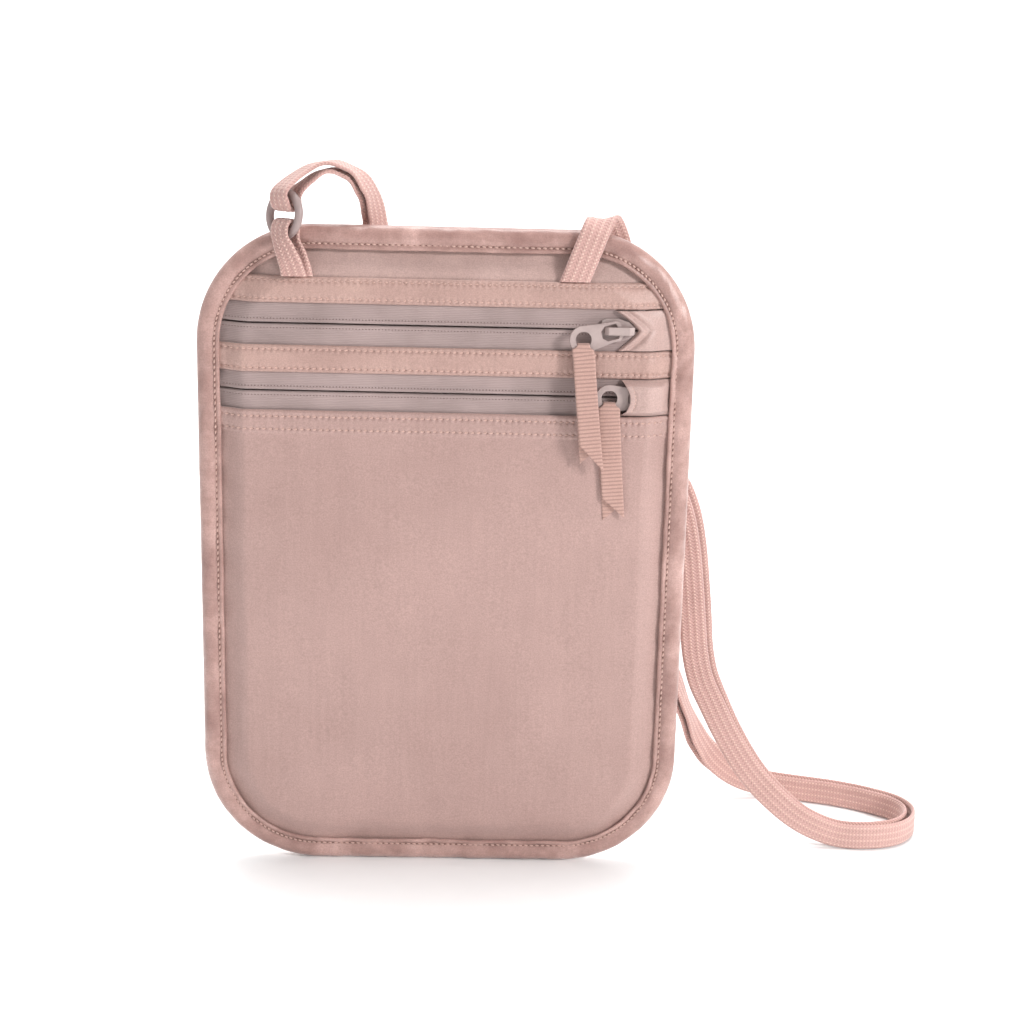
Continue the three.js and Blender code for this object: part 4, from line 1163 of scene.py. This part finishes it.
def ribbon_profile():
    half, t, count = RIBBON_WIDTH / 2, RIBBON_THICK / 2, 14
    front = [(-half + 2 * half * k / count, t * (0.6 if k in (0, count) else 1)) for k in range(count + 1)]
    return [(a, -b) for a, b in front] + list(reversed(front))


def merge_close(piece):
    mesh = bmesh.new()
    mesh.from_mesh(piece.data)
    bmesh.ops.remove_doubles(mesh, verts=mesh.verts, dist=0.004 * MM)
    bmesh.ops.recalc_face_normals(mesh, faces=mesh.faces)
    mesh.to_mesh(piece.data)
    mesh.free()
    piece.data.polygons.foreach_set("use_smooth", [True] * len(piece.data.polygons))


def make_ribbons():
    upper_hole = Vector(next(j for j in frame["joints"] if j["name"] == "upper_swing")["pos_m"]) / MM
    lower_hole = Vector(next(j for j in frame["joints"] if j["name"] == "lower_swing")["pos_m"]) / MM
    make_ribbon("upper", "upper_ribbon", upper_hole, [
        (0.3, 1.5, -5.5), (0.9, 2.4, -12), (1.6, 3.0, -19), (2.6, 3.0, -28), (3.8, 2.6, -38.5),
    ], [
        (0.3, -0.9, -5.5), (0.9, 1.3, -12), (1.6, 2.0, -19), (2.4, 1.9, -28), (3.2, 1.4, -36),
    ], 8.5, 5.0)
    make_ribbon("lower", "lower_ribbon", lower_hole, [
        (0.1, 1.2, -5.6), (0.6, 1.0, -12), (1.2, 0.6, -20), (2.6, 0.4, -36),
    ], [
        (0.1, -0.5, -5.6), (0.6, 0.1, -12), (1.2, -0.3, -20), (2.5, -0.5, -36.5),
    ], 6.5, 5.0)


# ---- stage ----
def make_floor():
    mesh = bpy.data.meshes.new("floor")
    half, back, rise = 3.0, 1.6, 2.2
    bend = [(-3.0, 0.0), (back - 0.6, 0.0)]
    bend += [(back - 0.6 + 0.6 * math.sin(a), 0.6 - 0.6 * math.cos(a)) for a in np.linspace(0.1, math.pi / 2, 14)]
    bend += [(back, rise)]
    vertices = [(x, y, FLOOR_Z * MM - 0.0002 + z) for y, z in bend for x in (-half, half)]
    faces = [(2 * k, 2 * k + 1, 2 * k + 3, 2 * k + 2) for k in range(len(bend) - 1)]
    mesh.from_pydata(vertices, [], faces)
    mesh.materials.append(floor_material("paper"))
    mesh.polygons.foreach_set("use_smooth", [True] * len(mesh.polygons))
    floor = bpy.data.objects.new("floor", mesh)
    bpy.context.scene.collection.objects.link(floor)


def soft_light(name, place, target, size, power):
    data = bpy.data.lights.new(name, "AREA")
    data.shape = "DISK"
    data.size = size
    data.energy = power
    light = bpy.data.objects.new(name, data)
    light.location = place
    direction = Vector(target) - Vector(place)
    light.rotation_euler = direction.to_track_quat("-Z", "Y").to_euler()
    bpy.context.scene.collection.objects.link(light)


def make_lights():
    world = bpy.data.worlds.new("studio")
    world.use_nodes = True
    background = world.node_tree.nodes["Background"]
    background.inputs["Color"].default_value = (1, 1, 1, 1)
    background.inputs["Strength"].default_value = 0.46
    bpy.context.scene.world = world
    soft_light("key", (1.0, -0.8, 0.55), (0, 0, 0), 0.32, 13.5)
    soft_light("fill", (-0.9, -0.9, 0.2), (0, 0, 0), 0.9, 2.0)
    soft_light("sweep", (0, 0.5, 1.7), (0, 1.5, 0.2), 1.4, 46.0)
    bpy.context.scene.view_settings.view_transform = "Standard"


make_camera()
make_strap()
make_ring_tab()
make_ring()
make_front_panel()
make_top_panel()
make_back_panel()
make_divider()
make_facing("upper", *UPPER_FACING)
make_facing("middle", *MIDDLE_FACING)
make_binding()
make_zips()
for zip_name in ("upper", "lower"):
    softened(f"{zip_name}_slider", f"cast_{zip_name}_slider", ENAMEL, f"{zip_name}_slider", 0.28)
    softened(f"{zip_name}_pull_tab", f"cast_{zip_name}_tab", ENAMEL, f"{zip_name}_pull", 0.27, 4)
make_ribbons()
make_floor()
make_lights()
